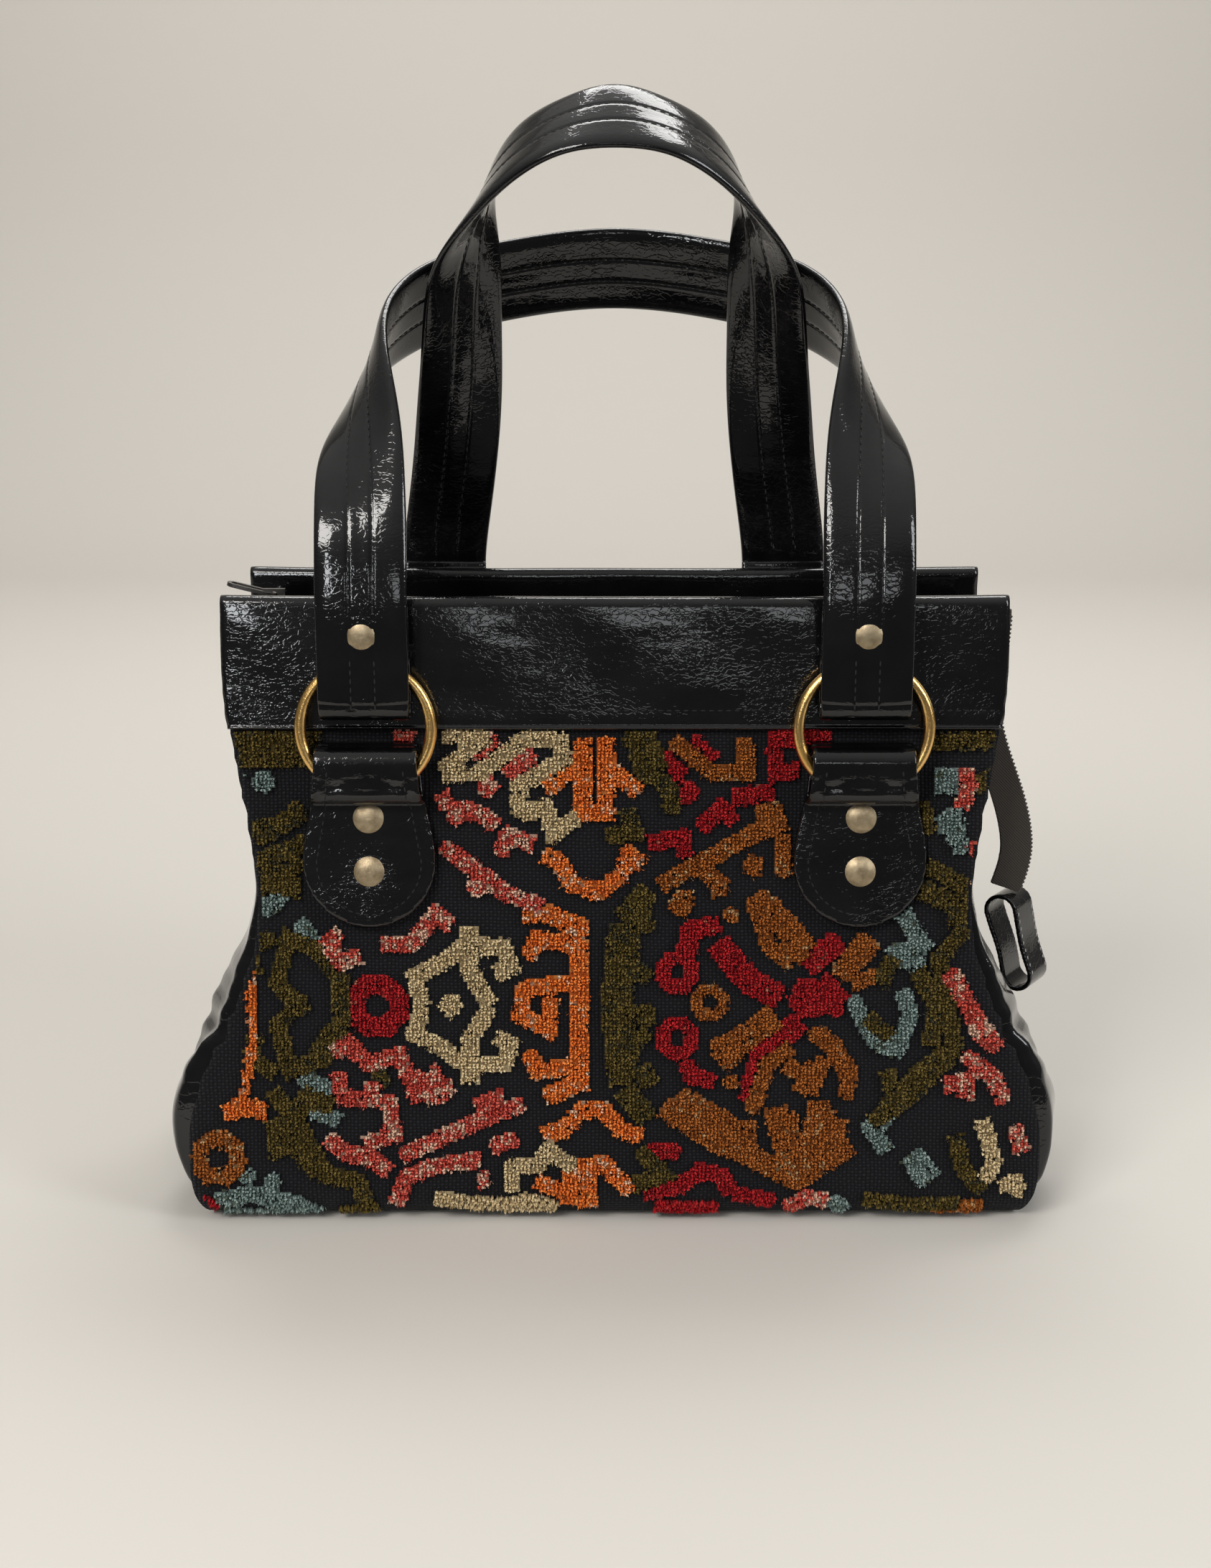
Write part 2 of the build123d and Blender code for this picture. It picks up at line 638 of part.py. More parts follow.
# The back handle stands up through it and leans forward at the top
back_stations = [
    ((BACK_RING_X, -foot_y, STRAP_FOOT_TOP), (0, 1, 0)),
    ((BACK_RING_X - 3, -foot_y - 3, 276), (0, 1, 0)),
    ((BACK_RING_X - 7, -foot_y - 9, 306), (0.1, 1, 0)),
    ((BACK_RING_X - 10, -foot_y - 20, 340), (0.4, 0.9, 0)),
    ((BACK_RING_X - 13, -foot_y - 33, 372), (0.65, 0.75, 0)),
    ((BACK_RING_X - 21, -foot_y - 45, 398), (0.97, 0.1, 0.25)),
    ((BACK_RING_X - 36, -foot_y - 55, 416), (0.75, -0.35, 0.55)),
    ((BACK_RING_X - 54, -foot_y - 61, 425), (0.35, -0.55, 0.75)),
    ((0, -foot_y - 63, 428), (0, -0.66, 0.75)),
]

handle_front = strap_loop(front_stations).fuse(*[strap_foot(x) for x in front_xs])
save(Part(handle_front.wrapped), "handle_front")
handle_back = strap_loop(back_stations).fuse(
    *[mirror(strap_foot(x), about=Plane.XZ) for x in back_xs]
)
save(Part(handle_back.wrapped), "handle_back")

strap_rivets = together([rivet_at(strap_seat(x), strap_grip) for x in front_xs])
save(strap_rivets, "strap_rivets_front")
strap_rivets = together([rivet_at(strap_seat(x), strap_grip) for x in back_xs])
save(mirror(strap_rivets, about=Plane.XZ), "strap_rivets_back")

for side, name in ((-1, "left"), (1, "right")):
    save(tab_at(side * FRONT_RING_X), f"tab_front_{name}")
    save(mirror(tab_at(side * BACK_RING_X), about=Plane.XZ), f"tab_back_{name}")
    save(ring_at(side * FRONT_RING_X), f"ring_front_{name}")
    save(mirror(ring_at(side * BACK_RING_X), about=Plane.XZ), f"ring_back_{name}")

front_seats = [seat for x in front_xs for seat in tab_seats(x)]
back_seats = [seat for x in back_xs for seat in tab_seats(x)]
save(together([rivet_at(seat, tab_grip) for seat in front_seats]), "tab_rivets_front")
tab_rivets = together([rivet_at(seat, tab_grip) for seat in back_seats])
save(mirror(tab_rivets, about=Plane.XZ), "tab_rivets_back")


def line(*knots, wide=LINE):
    """A line of pile through points given in knots."""
    with BuildLine(mode=Mode.PRIVATE) as run:
        Polyline(*[(x * KNOT, z * KNOT) for x, z in knots])
    trace(run.line, line_width=wide * KNOT)


def dot(x, z, size=1.8):
    """A small round flower of pile."""
    with Locations((x * KNOT, z * KNOT)):
        RegularPolygon(size * KNOT / 2, 6)


def ring(x, z, outer=3.2, inner=1.2):
    """An eight-sided ring of pile round a bare middle."""
    with Locations((x * KNOT, z * KNOT)):
        RegularPolygon(outer * KNOT, 8, rotation=22.5)
        RegularPolygon(inner * KNOT, 8, rotation=22.5, mode=Mode.SUBTRACT)


def both_ways(middle, *knots, wide=LINE):
    """A line of pile and its reflection above and below a height."""
    line(*knots, wide=wide)
    line(*[(x, 2 * middle - z) for x, z in knots], wide=wide)


# Height of the middle of both medallions, in knots
MIDDLE = 22.5


def cream():
    line((-17, 45.6), (-12.2, 49.2))
    line((-17, 45.4), (-13.3, 45.4), (-8.4, 49), (-5.2, 48.6), (-5, 46.8), (-9.4, 44.2), (-9.2, 41.2))
    line((-9.2, 41.4), (-6.8, 42.2), (-6, 39.6), (-3.6, 41.2))
    line((-18, 2.6), (-13, 1.8), (-7, 1.8))
    line((-10.4, 3.4), (-10.2, 6), (-7.6, 6.2), (-6.6, 7.8), (-4, 6))
    both_ways(MIDDLE, (-14.3, 30.4), (-14.3, 26), (-12.3, 22.5), wide=1.8)
    both_ways(MIDDLE, (-14.3, 28.9), (-17.3, 26.6), (-19.8, 25.4), (-19, 22.5))
    both_ways(MIDDLE, (-14, 28.4), (-11, 28.4), (-10.2, 26.4), (-11.8, 25.6))
    dot(-16.2, MIDDLE, 2.6)
    line((36.6, 11), (38, 6.6), (37, 4.6))
    line((39, 4.6), (41, 3.6))
    line((-11.4, 1.2), (-8.8, 2.4), (-5.8, 1.4))
    line((-16.8, 49.2), (-12.6, 49.2))
    line((38.6, 4), (41, 4.8), wide=1.5)


def coral():
    line((-17, 38.4), (-13.6, 36), (-10.6, 33.6), (-7, 32.4))
    line((-14.4, 34), (-12.4, 34.6))
    line((-21.4, 7.2), (-17, 9.2), (-12.6, 11.2), (-9, 12.6))
    line((-14, 12.2), (-11, 13.4))
    line((-14, 47), (-11.4, 49))
    line((-10.6, 45.2), (-7.8, 47.4))
    line((-16, 40.6), (-15, 42), (-12.8, 41.4), (-11.6, 40.2))
    line((-11.4, 37.4), (-10.4, 39.4), (-7.8, 38.4))
    dot(-12.4, 44.2, 2.4)
    line((-23, 28.6), (-20, 28.6), (-17.6, 31.6), (-16, 30.4))
    line((-27, 30), (-28.6, 28.2))
    line((-26, 18), (-24.4, 16.6), (-21.4, 17.4), (-19.8, 13.8), (-18, 15.4), (-17, 12.6))
    line((-22.6, 13.4), (-22, 9.4), (-25, 8.4))
    line((-22, 2), (-20.8, 5), (-18, 6.2), (-13.4, 6.8))
    line((-12.4, 8), (-9.6, 9))
    line((33, 25.6), (34.8, 23), (36, 20), (38, 18))
    line((34.6, 17.6), (37.6, 15.4), (38.8, 12.6))
    line((39.8, 10.4), (40.8, 7.6))
    line((34.2, 46), (34.6, 44), (33.8, 42))
    line((-28, 17.6), (-26.4, 18.6), (-24.8, 17))
    line((-27.6, 15.8), (-27, 13.2), (-24.2, 13), (-24, 14.8))
    line((-20.2, 15.8), (-18.4, 13.2), (-16, 14.4))
    line((-28.6, 9.2), (-27, 7.6), (-24, 6.8), (-22.4, 5.6))
    line((-13.8, 4.6), (-12.4, 4.8))
    line((-21.6, 49.2), (-19.4, 49.2))
    line((35, 38.8), (36.8, 36.6), (35.2, 34.2))
    line((33.2, 26), (35, 22.4), (37.8, 18.4), wide=1.8)
    line((32.6, 14.4), (35.2, 15), (35, 13))
    line((-28.2, 28.4), (-27, 26.8), (-25, 27.4))
    line((17.2, 1.4), (19.2, 2.8), (21.4, 2.4))
    line((-17, 43.6), (-16.2, 42))


def orange():
    both_ways(MIDDLE, (-7, 31.8), (-3.6, 30.4), (-3.5, MIDDLE), wide=1.9)
    both_ways(MIDDLE, (-4, 28.6), (-7.6, 29.2), (-8.6, 27.2))
    line((-4, 24.8), (-8.8, 24.2), (-9.4, 21.6), (-6.6, 20), (-6.2, 23.4))
    line((-3.1, 49), (-3.1, 41.6), wide=1.8)
    line((-0.9, 49), (-0.9, 41.6), wide=1.8)
    line((-3.8, 41.6), (0, 41.6))
    line((-3.4, 46.2), (-6.8, 43.8))
    line((-0.6, 46), (2.4, 43.6))
    line((-7.2, 37.4), (-5.6, 37), (-4.2, 34.6), (-1.6, 33.8), (0.6, 35.4), (1.4, 37.4), (2.8, 36.6))
    line((-7.4, 9.4), (-5, 9.8), (-3.4, 11.8), (-1.2, 12), (0.6, 10), (2.8, 9.2))
    line((-4.6, 2), (-4.4, 6), (-1, 6.4), (1.6, 3.6))
    line((-8, 4.6), (-4.4, 3.2))
    line((-2.6, 1.6), (-2.6, 6), wide=1.8)
    line((-38, 49), (-38, 47))
    line((-39, 11.6), (-35.4, 12.4))
    line((-36.4, 39.4), (-36.2, 28.4), (-35.8, 18.8), (-37, 13), wide=1)
    line((-38.4, 12.4), (-34.6, 11.8), wide=1.8)
    line((-9.2, 31.4), (-7, 31.8), (-4.6, 30.6))


def olive():
    line((-37, 48.6), (-28.4, 48.6))
    line((-37, 46.8), (-30, 46.8))
    line((1.8, 48.6), (2.8, 45.6), (5.4, 44), (5.6, 41.4))
    line((1.2, 42), (2, 39.6), (-0.8, 39.4))
    line((-37, 39.8), (-32.4, 40.4), (-30.6, 42.4))
    line((-36, 36.8), (-32, 35.4), (-30.8, 37.2))
    both_ways(MIDDLE, (1, 14.4), (0.2, MIDDLE), wide=3.2)
    both_ways(MIDDLE, (0.8, 14), (3.4, 11), wide=2.4)
    both_ways(MIDDLE, (1.4, 18), (3.4, 20))
    both_ways(MIDDLE, (-33, 29.4), (-29, 28), (-27, 24.6))
    both_ways(MIDDLE, (-32.4, 28.6), (-33.4, 24.6), (-31.4, MIDDLE))
    both_ways(MIDDLE, (-35.6, 25.4), (-36, 28), (-33.6, 29.4))
    dot(-31.2, MIDDLE, 2.4)
    line((-34, 14), (-31, 9.6), (-29, 5.4), (-25.6, 4.6), (-24.6, 0.8), wide=1.8)
    line((30, 48.6), (38.4, 48.6))
    line((37, 46), (36.6, 41.4), wide=1.8)
    line((30.6, 36.4), (34.4, 34.4), (35.6, 31.6), (32, 27), (33.8, 18.4), (30, 13.6), (25.6, 10.6))
    line((27.6, 27.4), (26.2, 24.6))
    line((27, 16), (28, 12.6))
    line((34, 9.4), (35, 5.6), (37, 3.6))
    line((25, 2.6), (30, 1.8), (34.6, 2))
    line((2.4, 8), (5, 5.4), (1.6, 4.2))
    line((-37.2, 38.8), (-33.8, 39.8), (-30.4, 41.8), wide=2)
    line((-36.6, 36), (-33.2, 37.6), (-29.8, 38.8), wide=1.8)
    line((-36.4, 33.8), (-33.8, 34.8), (-30.8, 34), wide=2)
    line((-29.6, 28.4), (-27.2, 25.4), (-27, 20.8), (-28.8, 18.8), (-30, 16.6), wide=1.9)
    line((-34.8, 9.8), (-32.6, 10.4), (-30.4, 13.2), (-28, 12.2), wide=2)
    line((-34.6, 7.8), (-32, 8.4), (-29.6, 5.6), wide=2)
    line((-27.8, 0.6), (-24.6, 0.6), wide=1.8)
    line((-23.8, 16.4), (-22.8, 14.2))
    line((29, 34.6), (33, 32.8), (33.8, 30.6), wide=2)
    line((27.2, 11.8), (30.2, 15), (33, 17.4), wide=2.4)
    line((29.8, 26), (31.8, 22.6), (31.4, 18.4), wide=1.9)
    line((35.8, 45.6), (37, 42.6), wide=1.9)
    line((0.8, 48.8), (3.4, 48.8), (4.4, 45.6))
    line((2.6, 31.8), (3.2, 29.8), wide=2)
    line((2.8, 22.6), (3.4, 20.4), wide=2)
    line((2.6, 16.4), (3.8, 14.4), wide=2)
    line((29.8, 42.6), (31, 39.6))
    line((25, 21.4), (27.4, 19.2))


def rust():
    line((4.4, 34.4), (8.4, 36.6), (12.6, 39), (16.8, 40.8), wide=1.8)
    line((7, 34), (6.6, 32))
    line((10.4, 35.4), (10.4, 33.2))
    line((13.8, 37.4), (13.4, 35.4))
    line((16.4, 39.4), (16.6, 35.4))
    line((4.8, 12.4), (9.6, 9), (14, 7), (18.2, 4.8), (23.6, 8.4), wide=2.2)
    line((7, 13.6), (7, 11))
    line((13.4, 10.8), (13.4, 8))
    line((17, 11.6), (18.4, 6), wide=2.4)
    line((21, 12), (20.4, 8), wide=2.4)
    line((5.6, 48.8), (9.6, 45.4), (13, 45.6), (12.6, 49))
    both_ways(MIDDLE, (13.6, 33.4), (15.2, 28.4), (17.6, 26.6))
    line((14.4, 33), (18.8, 27), wide=1.6)
    line((10.4, 16.6), (13.4, 19.6), (16, 21.4), wide=2.6)
    line((20, 20), (23.4, 16), (23, 13))
    line((18.4, 13.6), (20, 16.6))
    line((22, 25.4), (25, 29.4), wide=2)
    ring(9.4, 22.8, 2, 0.8)
    dot(11.4, 31.4, 1.8)
    dot(11.6, 14.8, 1.8)
    ring(-39.6, 7, 3, 1.2)
    line((5.6, 33), (7.4, 31.8), wide=2)
    line((8, 36.4), (10.2, 34.6), wide=1.8)
    line((16, 12.2), (17.4, 6.4), wide=2.4)
    line((20.4, 12.8), (19.8, 7.2), wide=2.4)
    line((22.4, 11), (21.6, 7.6), wide=2)
    line((6.4, 13.2), (10.2, 11), (13.6, 8.6), wide=2.4)
    line((19.4, 19.8), (21.8, 18.6), (23.4, 14.6))
    line((17, 16.6), (19.8, 14.4), (20.8, 17.2))
    line((22.8, 25.8), (25.6, 29), wide=2)
    line((23.4, 24.6), (26.8, 25.8), wide=1.6)
    line((9.8, 17.8), (13, 19.6), (16, 21.6), wide=2.2)
    line((14, 33.4), (16, 31.8), (19.2, 28), wide=2)
    line((32, 1.6), (37, 1.6))
    line((13.8, 41.6), (16.4, 42), wide=1.8)


def red():
    line((10, 28.8), (13.4, 24.8), (16.4, 23.2), wide=2.6)
    line((13.4, 12.8), (14.6, 17.4), (18.4, 21), wide=2.4)
    line((22.2, 29), (18.8, 26.4), wide=2.4)
    dot(19.2, 23.2, 4.4)
    line((20, 23), (22.6, 22), wide=1.8)
    for height in (25.8, 19.2):
        ring(6.2, height, 2.3, 0.8)
    line((6.8, 28), (7.4, 30), (9.8, 30.8))
    line((7, 17), (7.6, 15.4), (10, 14.8))
    ring(-23.6, 22.4, 3.4, 1.3)
    line((4.6, 47.2), (6.8, 45))
    line((7.2, 48.6), (9.8, 46.6), wide=1.8)
    line((8.4, 40), (10.4, 42), (11.8, 40.6))
    line((11.4, 43), (15.6, 43.6), wide=1.8)
    line((15.4, 48.2), (15.8, 45.4), (18, 45.8))
    line((3.2, 38.6), (6.6, 39.2), (7, 37.2))
    dot(7, 43.6, 2.6)
    line((3.4, 8), (6.6, 7.6))
    line((7.8, 6), (10.8, 5.2), (11.6, 3.4))
    line((12, 3.4), (16, 2.4))
    line((4, 1.6), (10.4, 1.4))
    line((-43, 3), (-40, 1.2), wide=2)
    line((15, 49), (18.2, 48.8), (21, 49.6))
    line((20.2, 25), (22.4, 22.6), wide=2.4)
    line((10.4, 30.6), (8, 29.8), (7.2, 27.4), wide=1.6)
    line((3, 3.6), (6.2, 4), (8.2, 5.4))


def teal():
    dot(-37, 45, 2)
    dot(-34.2, 44.6, 2.4)
    line((-36.6, 33.6), (-34, 32.2), (-31.6, 34.4))
    line((-31.2, 31), (-29.6, 28.8))
    line((32.4, 46), (32.4, 43.4), wide=2.6)
    line((31.4, 40), (33.2, 41.4), (33.4, 38.4))
    line((28.8, 29), (30.2, 26.4))
    dot(29, 27.2, 2.8)
    line((23.4, 23.4), (26, 18.6), (28, 18), (29.4, 21.6), (28.4, 24))
    line((26.4, 10.4), (29, 13))
    line((29.6, 7.4), (31.6, 4.6), wide=2.6)
    line((-40, 2.4), (-36.4, 3.4), (-31.4, 1))
    dot(-36.8, 5.2, 2)
    dot(-34.2, 4.6, 2)
    line((-31, 15.4), (-29, 12.4))
    line((-30.4, 15), (-28.2, 13.8), (-29.4, 11.6), (-27.4, 10.8))
    line((33, 41), (34.2, 37.6))
    line((28.2, 31.8), (30.8, 28), wide=1.8)
    line((25, 10.8), (27.2, 7.6))
    line((21.8, 2.8), (23, 1))
    line((-39.6, 2), (-36.2, 3.4), (-32, 2.4), (-29.8, 0.6), wide=1.6)
    line((-39.2, 0.6), (-34.4, 0.2), (-30.6, 0.4), wide=1.4)
    line((27, 28.4), (28.2, 27))


# Pile: each yarn colour stands out from the panel as its own set of tufts
pile_sheet = layer(PILE_ROOT, PILE_HEIGHT)
tab_cover = [tab_outline(x) for x in front_xs]
laid = []
for colour in (cream, coral, orange, olive, rust, red, teal):
    with BuildSketch(Plane.XZ) as motifs:
        colour()
        add(panel_face(1.5, 3, BAND_BOTTOM - 1), mode=Mode.INTERSECT)
        for earlier in laid:
            add(earlier, mode=Mode.SUBTRACT)
    laid.append(motifs.sketch)
    with BuildPart() as pile:
        add(front_sheet(pile_sheet, motifs.sketch))
        for cover in tab_cover:
            extrude(cover, amount=REACH, mode=Mode.SUBTRACT)
    save(pile.part, f"pile_{colour.__name__}")
    print(colour.__name__, len(pile.part.solids()), "solids", len(pile.part.faces()), "faces")
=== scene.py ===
# %% [markdown]
# # A carpet-pattern handbag with patent leather trim
# The bag is black patent leather round the rim, the sides, the tabs and the two
# handles. Its front is a rough dark cloth with a pattern of thick pile in seven
# yarns. The metal is plain: gold rings, old brass rivets, a grey zip pull.
#
# The CAD model gives every piece its place. Here the soft pieces get their real
# shape and every surface gets its finish. Lengths are metres.

import json
import math

import bpy
import numpy as np
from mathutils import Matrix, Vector
from mathutils.bvhtree import BVHTree

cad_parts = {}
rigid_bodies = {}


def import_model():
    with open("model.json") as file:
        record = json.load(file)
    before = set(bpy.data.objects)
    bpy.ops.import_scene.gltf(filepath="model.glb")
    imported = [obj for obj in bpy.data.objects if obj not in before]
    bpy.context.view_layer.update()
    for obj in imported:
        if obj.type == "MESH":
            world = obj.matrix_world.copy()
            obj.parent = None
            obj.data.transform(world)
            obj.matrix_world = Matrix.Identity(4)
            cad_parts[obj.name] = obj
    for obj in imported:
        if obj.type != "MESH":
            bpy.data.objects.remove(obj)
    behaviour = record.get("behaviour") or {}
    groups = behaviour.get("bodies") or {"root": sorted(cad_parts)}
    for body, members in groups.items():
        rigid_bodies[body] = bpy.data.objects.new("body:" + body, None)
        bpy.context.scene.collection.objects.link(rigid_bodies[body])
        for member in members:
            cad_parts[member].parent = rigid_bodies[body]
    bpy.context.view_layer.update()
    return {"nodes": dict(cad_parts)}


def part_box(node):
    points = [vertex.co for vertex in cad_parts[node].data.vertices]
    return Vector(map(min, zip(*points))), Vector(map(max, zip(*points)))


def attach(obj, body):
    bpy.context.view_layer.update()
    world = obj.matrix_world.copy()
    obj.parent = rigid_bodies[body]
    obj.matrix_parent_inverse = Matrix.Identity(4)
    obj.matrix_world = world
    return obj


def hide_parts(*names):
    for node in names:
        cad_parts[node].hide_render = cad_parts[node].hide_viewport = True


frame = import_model()
nodes = frame["nodes"]
dice = np.random.default_rng(7)
MM = 0.001
print("CAD nodes:", len(nodes))

# %% [markdown]
# ## The camera
# The photograph looks slightly down on the bag from the front. A camera can be placed
# by eye, but then sizes never agree. Here the lens and the place were worked out from
# the width of the rim and the height of the base, so render and photograph match.

# %% Camera
bpy.ops.object.camera_add(
    location=(-0.0036, -0.830, 0.385), rotation=(math.radians(75.2), 0, 0)
)
camera = bpy.context.object
camera.data.sensor_width = 36
camera.data.lens = 47.8
bpy.context.scene.camera = camera
bpy.context.scene.view_settings.view_transform = "Standard"
print("lens:", camera.data.lens, "mm, camera at", [round(c, 3) for c in camera.location], "m")

# %% [markdown]
# ## The table and the light
# The bag stands on a pale table in front of a pale wall. Two planes would show a
# corner, so one grid is bent up at the back. The table ends close in front of the
# bag: patent leather shows only what it mirrors, and a long pale floor would lay a
# grey film over the black. Large lamps make its broad highlights, and two narrow
# ones make the bright streaks. The world stays dim at the height of the eye.

# %% Floor and backdrop


def socket(node, name, value):
    node.inputs[name].default_value = value


def new_material(name):
    """An empty Principled material and its node tree."""
    finish = bpy.data.materials.new(name)
    finish.use_nodes = True
    tree = finish.node_tree
    tree.nodes.clear()
    out = tree.nodes.new("ShaderNodeOutputMaterial")
    skin = tree.nodes.new("ShaderNodeBsdfPrincipled")
    tree.links.new(skin.outputs["BSDF"], out.inputs["Surface"])
    return finish, tree, skin


def grey(value):
    return (value, value, value)


def ramp(tree, value, stops):
    """A colour ramp on a value, its stops given as (position, colour)."""
    node = tree.nodes.new("ShaderNodeValToRGB")
    band = node.color_ramp
    while len(band.elements) < len(stops):
        band.elements.new(0.5)
    for element, (at, colour) in zip(band.elements, stops):
        element.position = at
        element.color = (*colour, 1)
    tree.links.new(value, node.inputs[0])
    return node.outputs[0]


def deselect():
    for o in bpy.context.view_layer.objects:
        o.select_set(False)


deselect()
bpy.ops.mesh.primitive_grid_add(x_subdivisions=2, y_subdivisions=60, size=1)
table = bpy.context.object
table.name = "table_and_wall"
WIDTH, FRONT_EDGE, DEPTH, BEND_RADIUS, WALL_HEIGHT = 6.0, -0.4, 2.0, 0.5, 5.0
FLAT_SHARE = 0.7
for v in table.data.vertices:
    run = v.co.y + 0.5
    rise = max(run - FLAT_SHARE, 0) / (1 - FLAT_SHARE)
    bend = min(rise, 0.5) * math.pi
    v.co = (
        v.co.x * WIDTH,
        FRONT_EDGE + DEPTH * min(run / FLAT_SHARE, 1) + BEND_RADIUS * math.sin(bend),
        BEND_RADIUS * (1 - math.cos(bend)) + max(rise - 0.5, 0) * WALL_HEIGHT,
    )
bpy.ops.object.shade_smooth()
pale, tree, skin = new_material("pale_table")
socket(skin, "Base Color", (0.55, 0.525, 0.485, 1))
socket(skin, "Roughness", 0.75)
table.data.materials.append(pale)
print("table and wall:", [round(d, 2) for d in table.dimensions], "m")

# %% Lamps


def lamp(name, place, aim, size, power, colour):
    bpy.ops.object.light_add(type="AREA", location=place)
    light = bpy.context.object
    light.name = name
    light.data.shape = "RECTANGLE"
    light.data.size, light.data.size_y = size
    light.data.energy = power
    light.data.color = colour
    light.rotation_euler = (Vector(aim) - Vector(place)).to_track_quat("-Z", "Y").to_euler()


lamp("key", (-0.8, -1.25, 1.25), (0, 0, 0.2), (0.8, 0.55), 21, (1, 0.97, 0.93))
lamp("side", (1.4, -0.8, 0.9), (0, 0, 0.2), (0.5, 0.9), 12, (0.95, 0.98, 1))
lamp("top", (0.15, 0.65, 1.6), (0, 0, 0.1), (1.2, 0.5), 14, (1, 0.99, 0.97))
lamp("wall_wash", (0, 0.75, 1.3), (0, 2.4, 0.7), (2.2, 0.5), 15, (1, 0.98, 0.96))
lamp("window", (-0.46, -1.4, 0.5), (-0.1, 0, 0.2), (0.12, 0.5), 2.4, (0.95, 0.98, 1))
lamp("window_middle", (0.12, -1.6, 0.42), (0, 0, 0.22), (0.4, 0.2), 0.7, (0.95, 0.98, 1))

# %% World
world = bpy.data.worlds.new("room")
bpy.context.scene.world = world
world.use_nodes = True
sky = world.node_tree
aim = sky.nodes.new("ShaderNodeTexCoord")
height = sky.nodes.new("ShaderNodeSeparateXYZ")
sky.links.new(aim.outputs["Generated"], height.inputs[0])
ROOM = [
    (0, (0.13, 0.127, 0.122)),
    (0.3, (0.2, 0.195, 0.19)),
    (0.75, (0.62, 0.61, 0.59)),
    (1, (0.8, 0.79, 0.77)),
]
room = ramp(sky, height.outputs["Z"], ROOM)
sky.links.new(room, sky.nodes["Background"].inputs["Color"])
socket(sky.nodes["Background"], "Strength", 0.8)
print("world from", ROOM[0][1], "at eye height to", ROOM[-1][1], "overhead")

# %% [markdown]
# ## Shared effects
# Three effects return in several finishes: crackle (patent leather), a basket weave
# (the cloth) and soft blotches (wear and colour drift). They could be rebuilt in
# every material, but then a change has to be made many times. So each is a node
# group with named sockets, and puts out only values.

# %% Node group helpers


class Group:
    """A shader node group under construction, with short ways to add and link."""

    def __init__(self, name, ins, outs):
        self.tree = bpy.data.node_groups.new(name, "ShaderNodeTree")
        for label, default in ins:
            made = self.tree.interface.new_socket(
                label, in_out="INPUT", socket_type="NodeSocketFloat"
            )
            made.default_value = default
        for label in outs:
            self.tree.interface.new_socket(
                label, in_out="OUTPUT", socket_type="NodeSocketFloat"
            )
        self.ins = self.tree.nodes.new("NodeGroupInput")
        self.outs = self.tree.nodes.new("NodeGroupOutput")

    def math(self, kind, a, b=None):
        node = self.tree.nodes.new("ShaderNodeMath")
        node.operation = kind
        self.feed(node.inputs[0], a)
        if b is not None:
            self.feed(node.inputs[1], b)
        return node.outputs[0]

    def times(self, a, b):
        return self.math("MULTIPLY", a, b)

    def plus(self, a, b):
        return self.math("ADD", a, b)

    def minus(self, a, b):
        return self.math("SUBTRACT", a, b)

    def clamp(self, value, low, high):
        return self.math("MINIMUM", self.math("MAXIMUM", value, low), high)

    def feed(self, into, what):
        if isinstance(what, (int, float)):
            into.default_value = what
        else:
            self.tree.links.new(what, into)

    def place(self):
        return self.tree.nodes.new("ShaderNodeTexCoord").outputs["Object"]

    def noise(self, scale, detail=2.0, rough=0.5, where=None):
        node = self.tree.nodes.new("ShaderNodeTexNoise")
        node.inputs["Detail"].default_value = detail
        node.inputs["Roughness"].default_value = rough
        self.feed(node.inputs["Scale"], scale)
        self.tree.links.new(where or self.place(), node.inputs["Vector"])
        return node.outputs[0]


# %% [markdown]
# ### Crackle
# Patent leather is cloth or hide under a thick lacquer, which wrinkles as it ages. One
# noise looks like mist on it. Three heights are added instead: wide waves, fine
# wrinkles drawn out sideways, and the thin lines between Voronoi cells. A mask lets
# the two small ones fade from place to place.

# %% Crackle
crackle = Group("crackle", [("Scale", 900), ("Depth", 1)], ["Height"])
stretch = crackle.tree.nodes.new("ShaderNodeVectorMath")
stretch.operation = "MULTIPLY"
stretch.inputs[1].default_value = (0.45, 1.0, 1.25)
crackle.tree.links.new(crackle.place(), stretch.inputs[0])
wrinkled = stretch.outputs[0]
size = crackle.ins.outputs["Scale"]
wide = crackle.noise(crackle.times(size, 0.16), 0, where=wrinkled)
fine = crackle.noise(crackle.times(size, 0.9), 1, where=wrinkled)
lines = crackle.tree.nodes.new("ShaderNodeTexVoronoi")
lines.feature = "DISTANCE_TO_EDGE"
bend = crackle.tree.nodes.new("ShaderNodeMixRGB")
bend.blend_type = "LINEAR_LIGHT"
bend.inputs["Fac"].default_value = 0.003
warp = crackle.tree.nodes.new("ShaderNodeTexNoise")
warp.inputs["Scale"].default_value = 260
crackle.tree.links.new(crackle.place(), warp.inputs["Vector"])
crackle.tree.links.new(wrinkled, bend.inputs["Color1"])
crackle.tree.links.new(warp.outputs["Color"], bend.inputs["Color2"])
crackle.tree.links.new(bend.outputs[0], lines.inputs["Vector"])
crackle.feed(lines.inputs["Scale"], crackle.times(size, 0.5))
ridge = crackle.times(crackle.math("MINIMUM", lines.outputs["Distance"], 0.12), 5.5)
mask = crackle.times(crackle.minus(crackle.noise(30, 1), 0.42), 4.0)
mask = crackle.clamp(mask, 0.35, 1.0)
small = crackle.plus(ridge, crackle.times(fine, 0.9))
total = crackle.plus(crackle.times(small, mask), crackle.times(wide, 2.6))
crackle.feed(crackle.outs.inputs["Height"], crackle.times(total, crackle.ins.outputs["Depth"]))
